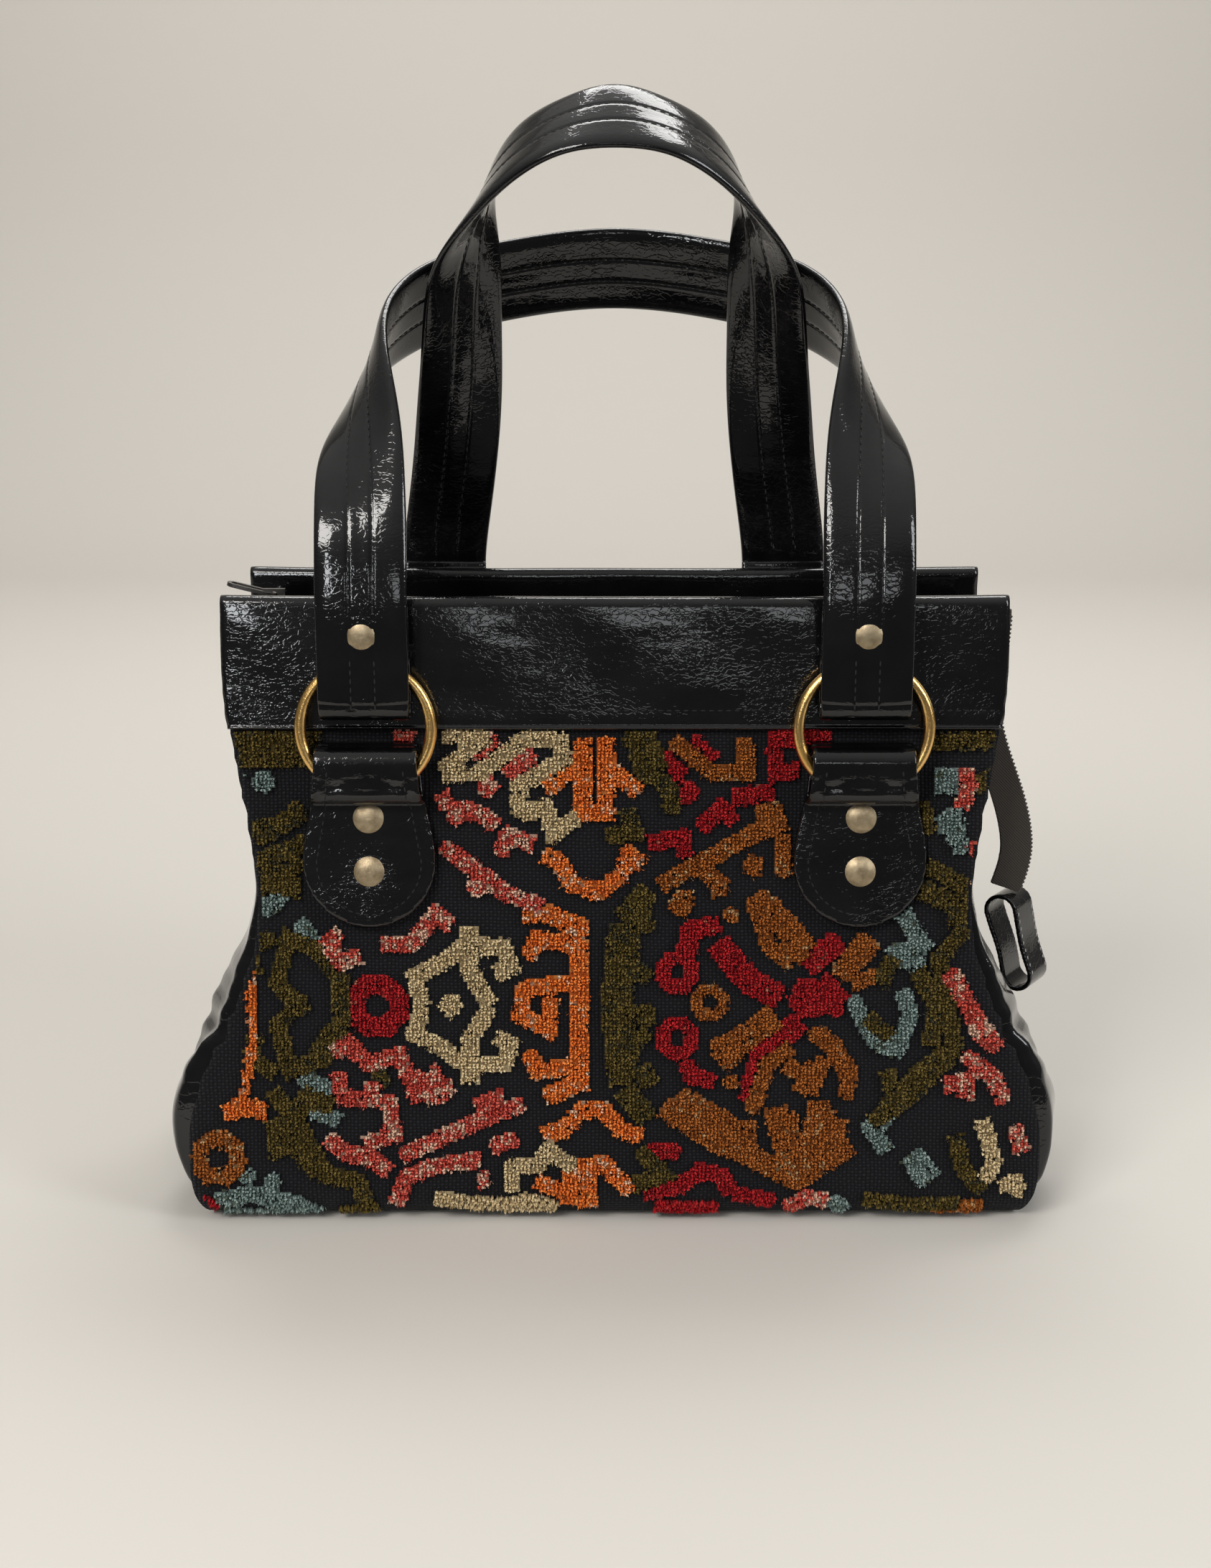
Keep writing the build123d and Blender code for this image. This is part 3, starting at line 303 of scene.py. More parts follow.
print("nodes in crackle:", len(crackle.tree.nodes))

# %% [markdown]
# ### Weave and blotch
# The ground cloth is a coarse basket weave. Its threads could be meshes, but they would
# be a hundred thousand. Two sine waves give the crowns of the threads, and a chequer
# decides which thread is on top. Blotch is a soft noise with a contrast.

# %% Weave and blotch
weave = Group("basket_weave", [("Across", 0.00155), ("Up", 0.0013)], ["Height", "Crown"])
split = weave.tree.nodes.new("ShaderNodeSeparateXYZ")
weave.tree.links.new(weave.place(), split.inputs[0])
wobble = weave.times(weave.minus(weave.noise(130, 2), 0.5), 0.0014)
u = weave.math("DIVIDE", weave.plus(split.outputs["X"], wobble), weave.ins.outputs["Across"])
v = weave.math("DIVIDE", weave.plus(split.outputs["Z"], wobble), weave.ins.outputs["Up"])
parity = weave.plus(weave.math("FLOOR", u), weave.math("FLOOR", v))
parity = weave.math("ABSOLUTE", weave.math("MODULO", parity, 2.0))
over = weave.math("ABSOLUTE", weave.math("SINE", weave.times(u, math.pi)))
under = weave.math("ABSOLUTE", weave.math("SINE", weave.times(v, math.pi)))
both = weave.times(over, under)
warp_up = weave.times(both, parity)
weft_up = weave.times(weave.times(both, weave.minus(1.0, parity)), 0.62)
crown = weave.plus(warp_up, weft_up)
fibre = weave.times(weave.noise(2600, 3), 0.35)
weave.feed(weave.outs.inputs["Crown"], crown)
weave.feed(weave.outs.inputs["Height"], weave.plus(crown, fibre))

blotch = Group("blotch", [("Scale", 30), ("Contrast", 2)], ["Value"])
cloud = blotch.noise(blotch.ins.outputs["Scale"], 4, 0.6)
cloud = blotch.times(blotch.minus(cloud, 0.5), blotch.ins.outputs["Contrast"])
blotch.feed(blotch.outs.inputs["Value"], blotch.clamp(blotch.plus(cloud, 0.5), 0.0, 1.0))
print("effect groups:", [g.name for g in bpy.data.node_groups])

# %% [markdown]
# ## Finishes
# A finish is a Principled material fed by those groups. Black patent could be a plain
# glossy black, but real lacquer is a clear layer over a darker, duller one. So it is
# a nearly black base under a clear coat, and the crackle moves the coat's normals,
# which breaks the highlights up.

# %% Material helpers


def use(tree, group, **values):
    """The group placed in a material with its own values."""
    node = tree.nodes.new("ShaderNodeGroup")
    node.node_tree = group.tree
    for label, value in values.items():
        socket(node, label, value)
    return node


def bump(tree, skin, height, distance):
    node = tree.nodes.new("ShaderNodeBump")
    socket(node, "Strength", 1.0)
    socket(node, "Distance", distance)
    tree.links.new(height, node.inputs["Height"])
    tree.links.new(node.outputs[0], skin.inputs["Normal"])
    return node


def tint(tree, node, name, value, *colours):
    """A socket follows a value through a ramp of evenly spaced colours."""
    stops = [(k / (len(colours) - 1), colour) for k, colour in enumerate(colours)]
    tree.links.new(ramp(tree, value, stops), node.inputs[name])


# %% Patent leather


def patent_finish(name, scale, distance):
    finish, tree, skin = new_material(name)
    lines = use(tree, crackle, Scale=scale, Depth=1.0)
    wear = use(tree, blotch, Scale=45.0, Contrast=2.4)
    tint(tree, skin, "Base Color", wear.outputs[0], (0.0012, 0.0012, 0.0015), (0.0034, 0.0033, 0.0038))
    tint(tree, skin, "Roughness", wear.outputs[0], grey(0.3), grey(0.42))
    socket(skin, "Coat Weight", 1.0)
    socket(skin, "Coat Roughness", 0.045)
    socket(skin, "Coat IOR", 1.5)
    socket(skin, "Specular IOR Level", 0.05)
    pressed = bump(tree, skin, lines.outputs[0], distance)
    tree.links.new(pressed.outputs[0], skin.inputs["Coat Normal"])
    return finish


patent = patent_finish("patent_leather", scale=850.0, distance=0.00005)
patent_strap = patent_finish("patent_strap", scale=700.0, distance=0.00006)
patent_side = patent_finish("patent_side", scale=420.0, distance=0.00006)
print("patent finishes:", [m.name for m in (patent, patent_strap, patent_side)])

# %% Ground cloth
ground, tree, skin = new_material("ground_cloth")
cells = use(tree, weave)
# Painted shade and light: the gaps between the threads are painted far darker and the crowns lighter than
# the thread's own colour.
SHADE_BETWEEN, THREAD, LIT_CROWN = (0.0015, 0.0015, 0.0022), (0.007, 0.007, 0.0095), (0.018, 0.018, 0.023)
tint(tree, skin, "Base Color", cells.outputs["Crown"], SHADE_BETWEEN, THREAD, LIT_CROWN)
socket(skin, "Roughness", 0.85)
socket(skin, "Sheen Weight", 0.04)
socket(skin, "Specular IOR Level", 0.15)
bump(tree, skin, cells.outputs["Height"], 0.0006)
print(ground.name, "nodes:", len(tree.nodes))

# %% Metals


def metal_finish(name, low, high, rough, spots=60.0):
    finish, tree, skin = new_material(name)
    cloud = use(tree, blotch, Scale=spots, Contrast=2.6)
    tint(tree, skin, "Base Color", cloud.outputs[0], low, high)
    tint(tree, skin, "Roughness", cloud.outputs[0], grey(rough + 0.1), grey(rough))
    socket(skin, "Metallic", 1.0)
    scratch = use(tree, blotch, Scale=spots * 18, Contrast=3.0)
    bump(tree, skin, scratch.outputs[0], 0.00003)
    return finish


gold = metal_finish("gold_ring", (0.72, 0.43, 0.13), (0.86, 0.56, 0.22), rough=0.2)
brass = metal_finish("old_brass", (0.25, 0.19, 0.115), (0.47, 0.38, 0.25), rough=0.36, spots=260.0)
gunmetal = metal_finish("gunmetal", (0.09, 0.085, 0.08), (0.2, 0.19, 0.18), rough=0.25)
print("metals:", [m.name for m in (gold, brass, gunmetal)])

# %% Plain cloths and board


def cloth_finish(name, low, high, scale, rough=0.9, sheen=0.2):
    finish, tree, skin = new_material(name)
    wave = tree.nodes.new("ShaderNodeTexWave")
    wave.bands_direction = "DIAGONAL"
    socket(wave, "Scale", scale)
    socket(wave, "Distortion", 1.2)
    tree.links.new(tree.nodes.new("ShaderNodeTexCoord").outputs["Object"], wave.inputs["Vector"])
    tint(tree, skin, "Base Color", wave.outputs[1], low, high)
    socket(skin, "Roughness", rough)
    socket(skin, "Sheen Weight", sheen)
    bump(tree, skin, wave.outputs[1], 0.0001)
    return finish


zip_cloth = cloth_finish("zip_tape", (0.022, 0.017, 0.013), (0.05, 0.04, 0.032), 520)
lining_cloth = cloth_finish("lining", (0.012, 0.011, 0.011), (0.026, 0.024, 0.023), 300)
board = cloth_finish("board", (0.02, 0.018, 0.016), (0.05, 0.045, 0.04), 150)
black_thread = cloth_finish("black_thread", grey(0.001), grey(0.004), 2200, rough=0.7, sheen=0.0)
tooth_plastic = cloth_finish("zip_teeth_dark", (0.02, 0.016, 0.012), (0.07, 0.055, 0.042), 900, rough=0.45)
pale_thread = cloth_finish("pale_thread", (0.35, 0.34, 0.33), (0.6, 0.59, 0.57), 2200)
print("finishes:", len(bpy.data.materials))

# %% [markdown]
# ## The shape of the walls
# Both walls lean: narrow at the rim, wide at the base. One function turns a
# distance down the wall into a place, so cloth, band and pile all agree. `sag`
# is how far the cloth billows out there, and it is nothing under the tabs.

# %% Wall shape


def run_along(line):
    """How far along a line each of its points lies."""
    return np.concatenate([[0], np.cumsum(np.linalg.norm(np.diff(line, axis=0), axis=1))])


def sample(values, run, steps):
    """Rows of values taken at steps of a run."""
    return np.stack([np.interp(steps, run, column) for column in values.T], 1)


RIM, SHOULDER = (36.0, 250.0), (40.5, 200.0)
BASE_HALF_DEPTH, CORNER = 66.0, 14.0
lean = math.atan2(BASE_HALF_DEPTH - SHOULDER[0], SHOULDER[1])
reach = CORNER / math.tan((math.pi / 2 - lean) / 2)
hub = Vector((BASE_HALF_DEPTH - reach, CORNER))
profile = [RIM, SHOULDER]
for step in range(13):
    angle = lean + (-math.pi / 2 - lean) * step / 12
    profile.append((hub.x + CORNER * math.cos(angle), hub.y + CORNER * math.sin(angle)))
profile.append((40.0, 0.0))
profile = np.array(profile)
length_down = run_along(profile)
print("wall, rim to under the base:", round(length_down[-1]), "mm")

# %% Width and billow of the walls
rim_edge = np.array([(v.co.z, v.co.x) for v in nodes["front_panel"].data.vertices if v.co.x > 0.12]) * 1000
rim_edge = rim_edge[np.argsort(rim_edge[:, 0])]
levels = np.linspace(0.5, 246, 60)
widths = np.array([rim_edge[np.abs(rim_edge[:, 0] - z) < 6, 1].max(initial=0) for z in levels])
good = widths > 0
levels, widths = levels[good], widths[good]
FRONT_TABS, BACK_TABS = 96, 72


def half_width(z):
    return np.interp(z, levels, widths)


def sag(x, z):
    """Outward billow of the front cloth, mm: low waves, none at the tabs and the band."""
    free = np.ones_like(x)
    for middle in (-FRONT_TABS, FRONT_TABS):
        across = np.clip((np.abs(x - middle) - 27) / 14, 0, 1)
        up = np.clip((118 - z) / 14, 0, 1)
        free = free * np.maximum(across, up)
    free = free * np.clip((196 - z) / 20, 0, 1) * np.clip(z / 12, 0, 1)
    wave = 0.9 * np.sin(x / 31 + z / 47) + 0.7 * np.sin(x / 19 - z / 26 + 1.3)
    side = np.exp(-(((np.abs(x) - 146) / 16) ** 2))
    pinch = -1.6 * side * np.sin(z / 15.0 + 0.9) * np.exp(-(((z - 105) / 60) ** 2))
    return free * (0.5 * wave + pinch)


def wall_place(down, out):
    """(y, z) in mm of the front wall at a distance down it, moved outwards."""
    y, z = sample(profile, length_down, down).T
    ty, tz = (sample(profile, length_down, down + 0.5) - sample(profile, length_down, down - 0.5)).T
    size = np.hypot(ty, tz) + 1e-9
    return -(y - tz / size * out), z + ty / size * out


print("half width at rim and base, mm:", half_width(np.array([246, 5])).round(1).tolist())

# %% Sheets from a grid


def finished(piece, body, slot=None, *materials):
    """Give a new piece its finish and its body; the slot is not used."""
    for finish in materials:
        piece.data.materials.append(finish)
    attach(piece, body)
    return piece


def only(piece):
    """Select one piece and make it active."""
    deselect()
    bpy.context.view_layer.objects.active = piece
    piece.select_set(True)


def linked(name, mesh):
    """A new object of the scene that shows a mesh."""
    piece = bpy.data.objects.new(name, mesh)
    bpy.context.scene.collection.objects.link(piece)
    return piece


def node_box(name):
    """Low and high corner of a CAD node, in mm."""
    return [np.array(c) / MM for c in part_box(name)]


def points_of(piece):
    return np.array([v.co[:] for v in piece.data.vertices]) / MM


def move_points(piece, points):
    piece.data.vertices.foreach_set("co", (points * MM).ravel())
    piece.data.update()


def apply_modifier(piece, kind, **settings):
    only(piece)
    made = piece.modifiers.new(kind.lower(), kind)
    for label, value in settings.items():
        setattr(made, label, value)
    bpy.ops.object.modifier_apply(modifier=made.name)


def grid_sheet(name, columns, rows, shape):
    """A grid whose points are placed by shape(u, v), both from 0 to 1."""
    deselect()
    bpy.ops.mesh.primitive_grid_add(x_subdivisions=columns, y_subdivisions=rows, size=2)
    sheet = bpy.context.object
    sheet.name = name
    flat = np.zeros(len(sheet.data.vertices) * 3)
    sheet.data.vertices.foreach_get("co", flat)
    flat = flat.reshape(-1, 3)
    move_points(sheet, shape((flat[:, 0] + 1) / 2, (flat[:, 1] + 1) / 2))
    return sheet


def outwards(piece):
    """Make all faces of a closed shell point out."""
    only(piece)
    bpy.ops.object.mode_set(mode="EDIT")
    bpy.ops.mesh.select_all(action="SELECT")
    bpy.ops.mesh.normals_make_consistent(inside=False)
    bpy.ops.object.mode_set(mode="OBJECT")
    bpy.ops.object.shade_smooth()


# %% [markdown]
# ## The pattern cloth
# Each wall is one piece of rough dark cloth, sewn in at the rim and the sides and
# turned under the base. A grid is bent to the wall, then Solidify gives it its
# thickness inwards, so the face stays where the pile is rooted. A cloth simulation
# would also do, but sewn and pulled tight, the cloth can hardly leave this shape.

# %% Front and back cloth
TABLE_GAP = 0.05


def wall_sheet(name, back, start, stop, out, inset, columns, rows, thick, wavy=True):
    def shape(u, v):
        down = start + (stop - start) * v
        y, z = wall_place(down, 0 * down)
        x = (2 * u - 1) * (half_width(z) - inset)
        lift = sag(x, z) if wavy else 0 * x
        y, z = wall_place(down, out + lift)
        side = -1 if back else 1
        return np.stack([x, side * y, np.maximum(z, TABLE_GAP)], 1)

    sheet = grid_sheet(name, columns, rows, shape)
    apply_modifier(sheet, "SOLIDIFY", thickness=thick * MM, offset=1.0 if not back else -1.0)
    outwards(sheet)
    return sheet


for back, name in ((False, "front"), (True, "back")):
    down = (3, length_down[-1] - 2)
    cloth = wall_sheet(f"{name}_cloth", back, *down, out=0, inset=0.3, columns=90, rows=84, thick=1.6)
    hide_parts(f"{name}_panel")
    finished(cloth, "bag", "panel_cloth", ground)
    print(cloth.name, "width, depth, height:", [round(d, 3) for d in cloth.dimensions], "m")

# %% Linings
for back, name in ((False, "front"), (True, "back")):
    lining = wall_sheet(
        f"{name}_inner", back, 30, 238, out=-3.0, inset=10, columns=40, rows=40, thick=0.7, wavy=False
    )
    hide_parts(f"{name}_lining")
    finished(lining, "bag", "lining_cloth", lining_cloth)
    print(lining.name, "faces:", len(lining.data.polygons))

# %% [markdown]
# ## The band
# Patent leather lies over the top of the cloth, rolls over the rim and comes down
# inside. Its lower edge is turned and stitched. It could be a box with rounded edges,
# but the roll and its slack are what the eye sees, so its section is drawn as a line
# of points, (depth, height) in mm, and swept along the rim.

# %% Band with its facing
TURNED_EDGE = [(43.6, 199.6), (42.6, 199.3), (42.45, 201.0), (42.3, 203.4)]
BAND_FACE = [(42.0, 206), (40.6, 222), (39.0, 240), (38.1, 248.2)]
ROLL = [(37.2, 249.6), (35.4, 250.0), (33.6, 249.8), (32.5, 248.6)]
FACING = [(32.6, 246), (34.0, 232), (34.6, 225)]
band_line = np.array(TURNED_EDGE + BAND_FACE + ROLL + FACING)
band_down = run_along(band_line)


def make_band(name, back):
    def shape(u, v):
        y, z = sample(band_line, band_down, v * band_down[-1]).T
        x = (2 * u - 1) * (half_width(np.minimum(z, 246)) + 0.6)
        slack = 0.5 * np.sin(x / 24 + (2 if back else 0)) + 0.35 * np.sin(x / 11 + z / 9)
        y = y + slack * np.clip((z - 203) / 12, 0, 1) * np.clip((z - 200) / 3, 0, 1) * 0.7
        z = z - 0.7 * (1 - np.abs(2 * u - 1) ** 4) * np.clip((z - 225) / 25, 0, 1)
        side = 1 if back else -1
        return np.stack([x, side * y, z], 1)

    sheet = grid_sheet(name, 150, 60, shape)
    apply_modifier(sheet, "SOLIDIFY", thickness=1.3 * MM, offset=0.0)
    outwards(sheet)
    apply_modifier(sheet, "SMOOTH", factor=0.5, iterations=2)
    return sheet


bands = {}
for back, name in ((False, "front"), (True, "back")):
    band = make_band(f"{name}_rim_band", back)
    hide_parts(f"{name}_band")
    bands[name] = band
    finished(band, "bag", "patent", patent)
    print(band.name, "faces:", len(band.data.polygons))

# %% [markdown]
# ## The side gussets
# A gusset is one soft side piece. Below the rim it folds inwards along its middle,
# and towards the base it puffs out on both sides of that fold. The fold's depth and
# the puff are given at six heights and run smoothly between them, which is easier to
# match to the photograph than a simulated crease.

# %% Gussets
GUSSET_FOOT, GUSSET_TOP = 2.6, 236
GUSSET_LEVELS = np.array([2.3, 28, 78, 143, 200, 236.0])
FOLD = np.array([1.0, -5, -6, 1, 19.2, 24])
PUFF = np.array([1.0, 9, 12, 5, -1, -5])


def make_gusset(name, side):
    def shape(u, v):
        z = GUSSET_FOOT + (GUSSET_TOP - GUSSET_FOOT) * v
        fold = np.interp(z, GUSSET_LEVELS, FOLD)
        puff = np.interp(z, GUSSET_LEVELS, PUFF)
        edge = np.interp(z, [2, 14, 200, 250], [47, 58, 35.5, 31]) - 0.4
        wide = half_width(z)
        stations = np.array([0, 0.10, 0.26, 0.5, 0.74, 0.90, 1.0])
        half = [wide - 6, wide + puff * 0.55, wide + puff]
        x_at = np.stack(half + [wide - fold] + half[::-1])
        y_at = np.stack([-edge, -edge + 2, -edge * 0.55, 0 * edge, edge * 0.55, edge - 2, edge])
        place = np.clip(u, 0, 1)
        index = np.clip(np.searchsorted(stations, place, side="right") - 1, 0, 5)
        t = (place - stations[index]) / (stations[index + 1] - stations[index])
        t = t * t * (3 - 2 * t) * 0.55 + t * 0.45
        column = np.arange(len(u))
        x = x_at[index, column] * (1 - t) + x_at[index + 1, column] * t
        y = y_at[index, column] * (1 - t) + y_at[index + 1, column] * t
        free = np.clip(np.minimum(u, 1 - u) / 0.15, 0, 1)
        low = np.clip((150 - z) / 60, 0, 1)
        x = x + free * (0.6 * np.sin(z / 9 + y / 13) + 0.9 * low * np.sin(z / 17 - np.abs(y) / 9 + side))
        lobe = (92 - z) / 80 - (y + 58) / 60
        x = x + free * 2.6 * np.clip(lobe * 7, -0.5, 1) * np.clip(z / 25, 0, 1)
        x = x - free * 1.6 * np.exp(-((lobe / 0.05) ** 2))
        return np.stack([side * (x - 0.8), y, z], 1)

    sheet = grid_sheet(name, 84, 110, shape)
    apply_modifier(sheet, "SMOOTH", factor=0.5, iterations=8)
    apply_modifier(sheet, "SOLIDIFY", thickness=1.2 * MM, offset=0.0)
    outwards(sheet)
    return sheet


for side, name in ((-1, "left"), (1, "right")):
    gusset = make_gusset(f"gusset_{name}_side", side)
    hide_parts(f"gusset_{name}")
    finished(gusset, "bag", "patent", patent_side)
    print(gusset.name, "faces:", len(gusset.data.polygons))

# %% [markdown]
# ## Tabs
# A tab is a tongue of patent leather, folded over its ring and riveted down. The CAD
# solid has the right outline with sharp edges. It could be modelled again, but a copy
# that is merged, remeshed in small cells and smoothed rounds every edge as folded
# leather is round. Then the neck is eased and creased.

# %% Soft copies of CAD solids


def cut_off(piece, top):
    """Remove what is above a height and close the cut."""
    only(piece)
    bpy.ops.object.mode_set(mode="EDIT")
    bpy.ops.mesh.select_all(action="SELECT")
    bpy.ops.mesh.bisect(plane_co=(0, 0, top * MM), plane_no=(0, 0, 1), clear_outer=True, use_fill=True)
    bpy.ops.object.mode_set(mode="OBJECT")


def soft_copy(node, name, cell, rounds, share=0.4, top=None):
    """A merged, evenly remeshed and smoothed copy of a CAD solid."""
    piece = linked(name, nodes[node].data.copy())
    piece.data.materials.clear()
    apply_modifier(piece, "WELD", merge_threshold=0.00002)
    if top is not None:
        cut_off(piece, top)
    apply_modifier(piece, "REMESH", mode="VOXEL", voxel_size=cell * MM)
    apply_modifier(piece, "SMOOTH", factor=0.5, iterations=rounds)
    apply_modifier(piece, "DECIMATE", ratio=share)
    only(piece)
    bpy.ops.object.shade_smooth()
    print(name, "faces:", len(piece.data.polygons))
    return piece


# %% Tabs


def ease_ledge(tab, side):
    """The leather runs in one slope from the fold over the ring down to its flat part."""
    co = points_of(tab)
    normal = np.array([v.normal[:] for v in tab.data.vertices])
    x, y, z = co[:, 0] - co[:, 0].mean(), co[:, 1] * side, co[:, 2]
    front = normal[:, 1] * side > 0.25
    flat = np.median(y[front & (np.abs(z - 168) < 3)])
    fold = np.median(y[front & (np.abs(z - 184) < 3)])
    t = np.clip((z - 170) / 12, 0, 1)
    slope = flat + (fold - flat) * t * t * (3 - 2 * t)
    near = front & (z > 169) & (z < 183)
    y[near] = np.maximum(y[near], slope[near])
    crease = np.exp(-(((z - 182 + 0.02 * x**2) / 1.6) ** 2))
    crease += 0.7 * np.exp(-(((z - 177.5 - 0.012 * x**2) / 1.3) ** 2))
    y[front] -= 0.45 * crease[front]
    co[:, 1] = y * side
    move_points(tab, co)


tabs = {}
for wall in ("front", "back"):
    for name in ("left", "right"):
        tab = soft_copy(f"tab_{wall}_{name}", f"leather_tab_{wall}_{name}", cell=0.75, rounds=5)
        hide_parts(f"tab_{wall}_{name}")
        finished(tab, "bag", "patent", patent)
        ease_ledge(tab, -1 if wall == "front" else 1)
        tabs[wall, name == "right"] = tab

# %% [markdown]
# ## Stitches
# One stitch is a squashed little ball, modelled once. Its points are then copied to
# every place in a row, turned along the seam. A row of small real stitches catches
# the light, which a painted line doesn't. `sewn_on` drops a line of places onto a
# piece by casting rays at it, so stitches lie in the leather and not beside it.

# %% Rows of stitches
SINK = 0.1
deselect()
bpy.ops.mesh.primitive_uv_sphere_add(segments=6, ring_count=4, radius=0.5)
grain = bpy.context.object
grain_points = np.array([v.co[:] for v in grain.data.vertices])[:, [2, 0, 1]]
grain_faces = sorted(list(f.vertices) for f in grain.data.polygons)
bpy.data.objects.remove(grain)
print("one stitch: points", len(grain_points), "faces", len(grain_faces))


def unit(a):
    return a / (np.linalg.norm(a, axis=-1, keepdims=True) + 1e-12)


def stitch_row(name, places, alongs, outs, body, finish, size=(2.3, 0.75, 0.6)):
    """Copies of the one stitch: size is its length, width and height in mm."""
    alongs = unit(np.asarray(alongs, float))
    outs = np.asarray(outs, float)
    outs = unit(outs - alongs * (alongs * outs).sum(1)[:, None])
    sides = np.cross(outs, alongs)
    local = grain_points * size
    points = np.asarray(places)[:, None] + (
        local[None, :, :1] * alongs[:, None]
        + local[None, :, 1:2] * sides[:, None]
        + local[None, :, 2:] * outs[:, None]
    )
    faces = [[i + k * len(local) for i in face] for k in range(len(points)) for face in grain_faces]
    made = bpy.data.meshes.new(name)
    made.from_pydata((points.reshape(-1, 3) * MM).tolist(), [], faces)
    made.update()
    piece = linked(name, made)
    finished(piece, body, None, finish)
    print(name, "stitches:", len(points))


def joined(rows):
    """Several rows of places, ways and outward directions as one."""
    return [np.concatenate(part) for part in zip(*rows)]


def sewn_on(piece, line, look, pitch):
    """Places on a piece under a line of points, seen along a direction."""
    points = np.array([v.co[:] for v in piece.data.vertices])
    tree = BVHTree.FromPolygons(points.tolist(), [list(f.vertices) for f in piece.data.polygons])
    line = np.asarray(line, float)
    run = run_along(line)
    spots = sample(line, run, np.arange(pitch / 2, run[-1], pitch))
    places, alongs, outs = [], [], []
    for k, spot in enumerate(spots):
        hit, normal, _, _ = tree.ray_cast(Vector(spot * MM), Vector(look))
        if hit is None:
            continue
        if normal.dot(Vector(look)) > 0:
            normal = -normal
        after, before = spots[min(k + 1, len(spots) - 1)], spots[max(k - 1, 0)]
        places.append(np.array(hit) / MM - np.array(normal) * SINK)
        alongs.append(after - before)
        outs.append(np.array(normal))
    return places, alongs, outs


# %% [markdown]
# ## Handles
# A handle is two layers of patent leather with a soft filler, sewn in two rows along
# its middle. It is swept along the same stations as the CAD solid: a smooth line runs
# through them, and the section turns evenly between the directions given there. A
# curve with a bevel twists by its own rules, so each ring of points is placed here.
# The section has rounded edges and a groove under each row of stitches. The foot
# round the ring is a soft copy.

# %% Stations of the straps
FRONT_ROUTE = [
    ((96, 0, 210), (0, -1, 0)),
    ((96, 0, 230), (0, -1, 0)),
    ((96, 0, 252), (0, -1, 0)),
    ((96, 5, 276), (0, -1, 0.2)),
    ((97, 20, 301), (0.25, -0.9, 0.4)),
    ((97, 46, 326), (0.8, -0.5, 0.35)),
    ((91, 77, 346), (0.95, 0.25, 0.3)),
    ((72, 99, 359), (0.5, 0.8, 0.35)),
    ((40, 110, 367), (0.15, 0.9, 0.4)),
    ((0, 115, 371), (0, 0.92, 0.38)),
]
BACK_ROUTE = [
    ((72, 0, 210), (0, 1, 0)),
    ((72, 0, 230), (0, 1, 0)),
    ((72, 0, 252), (0, 1, 0)),
    ((69, -3, 276), (0, 1, 0)),
    ((65, -9, 306), (0.1, 1, 0)),
    ((62, -20, 340), (0.4, 0.9, 0)),
    ((59, -33, 372), (0.65, 0.75, 0)),
    ((51, -45, 398), (0.97, 0.1, 0.25)),
    ((36, -55, 416), (0.75, -0.35, 0.55)),
    ((18, -61, 425), (0.35, -0.55, 0.75)),
    ((0, -63, 428), (0, -0.66, 0.75)),
]
print("stations:", len(FRONT_ROUTE), "and", len(BACK_ROUTE), "for one half of a strap")

# %% Smooth line and its frame
STATIONS = 340


def through(points, gaps, start, stop):
    """A smooth line through points, leaving and arriving with given slopes."""
    points = np.asarray(points, float)
    table = np.diag(np.r_[1.0, 2 * (1 / gaps[:-1] + 1 / gaps[1:]), 1.0])
    right = np.zeros_like(points)
    right[0], right[-1] = start, stop
    for k in range(1, len(points) - 1):
        a, b = gaps[k - 1], gaps[k]
        table[k, k - 1], table[k, k + 1] = 1 / a, 1 / b
        right[k] = 3 * ((points[k] - points[k - 1]) / a**2 + (points[k + 1] - points[k]) / b**2)
    slopes = np.linalg.solve(table, right)
    ends = np.concatenate([[0], np.cumsum(gaps)])
    at = np.linspace(0, ends[-1], STATIONS)
    k = np.clip(np.searchsorted(ends, at, side="right") - 1, 0, len(gaps) - 1)
    t = ((at - ends[k]) / gaps[k])[:, None]
    gap = gaps[k][:, None]
    return (
        points[k] * (2 * t**3 - 3 * t**2 + 1)
        + points[k + 1] * (3 * t**2 - 2 * t**3)
        + slopes[k] * gap * (t**3 - 2 * t**2 + t)
        + slopes[k + 1] * gap * (t**3 - t**2)
    )


def strap_frame(route, foot_y):
    """The strap's middle line, its directions, the way along it and how full it is."""
    flip = [((-x, y, z), (-nx, ny, nz)) for (x, y, z), (nx, ny, nz) in route[-2::-1]]
    whole = route + flip
    places = np.array([place for place, _ in whole], float) + (0, foot_y, 0)
    facing = np.array([look for _, look in whole], float)
    gaps = np.linalg.norm(np.diff(places, axis=0), axis=1)
    line = through(places, gaps, (0, 0, 1), (0, 0, -1))
    along = unit(np.gradient(line, axis=0))
    ends = run_along(places)
    own = np.rint(ends / ends[-1] * (STATIONS - 1)).astype(int)
    across = unit(np.cross(facing, along[own]))
    across = unit(through(across, gaps, (0, 0, 0), (0, 0, 0)))
    out = unit(np.cross(along, across))
    run = run_along(line)
    full = np.clip((line[:, 2] - 232) / 12, 0, 1)
    low = np.clip((256 - line[:, 2]) / 6, 0, 1)
    line = line + out * (1.15 * (1 - full) + 0.25 * low)[:, None]
    return line, along, across, out, run, 0.48 + 0.52 * full


# %% Strap section
STRAP_HALF, ROW, PITCH = 17.5, 4.6, 3.4
half_section = np.array([0, 1.0, 2.0, 3.2, 3.9, ROW, 5.3, 6.0, 7.2, 9.5, 12.4, 14.8, 16.2, 17.0, 17.35])
face_section = np.concatenate([-half_section[:0:-1], half_section])


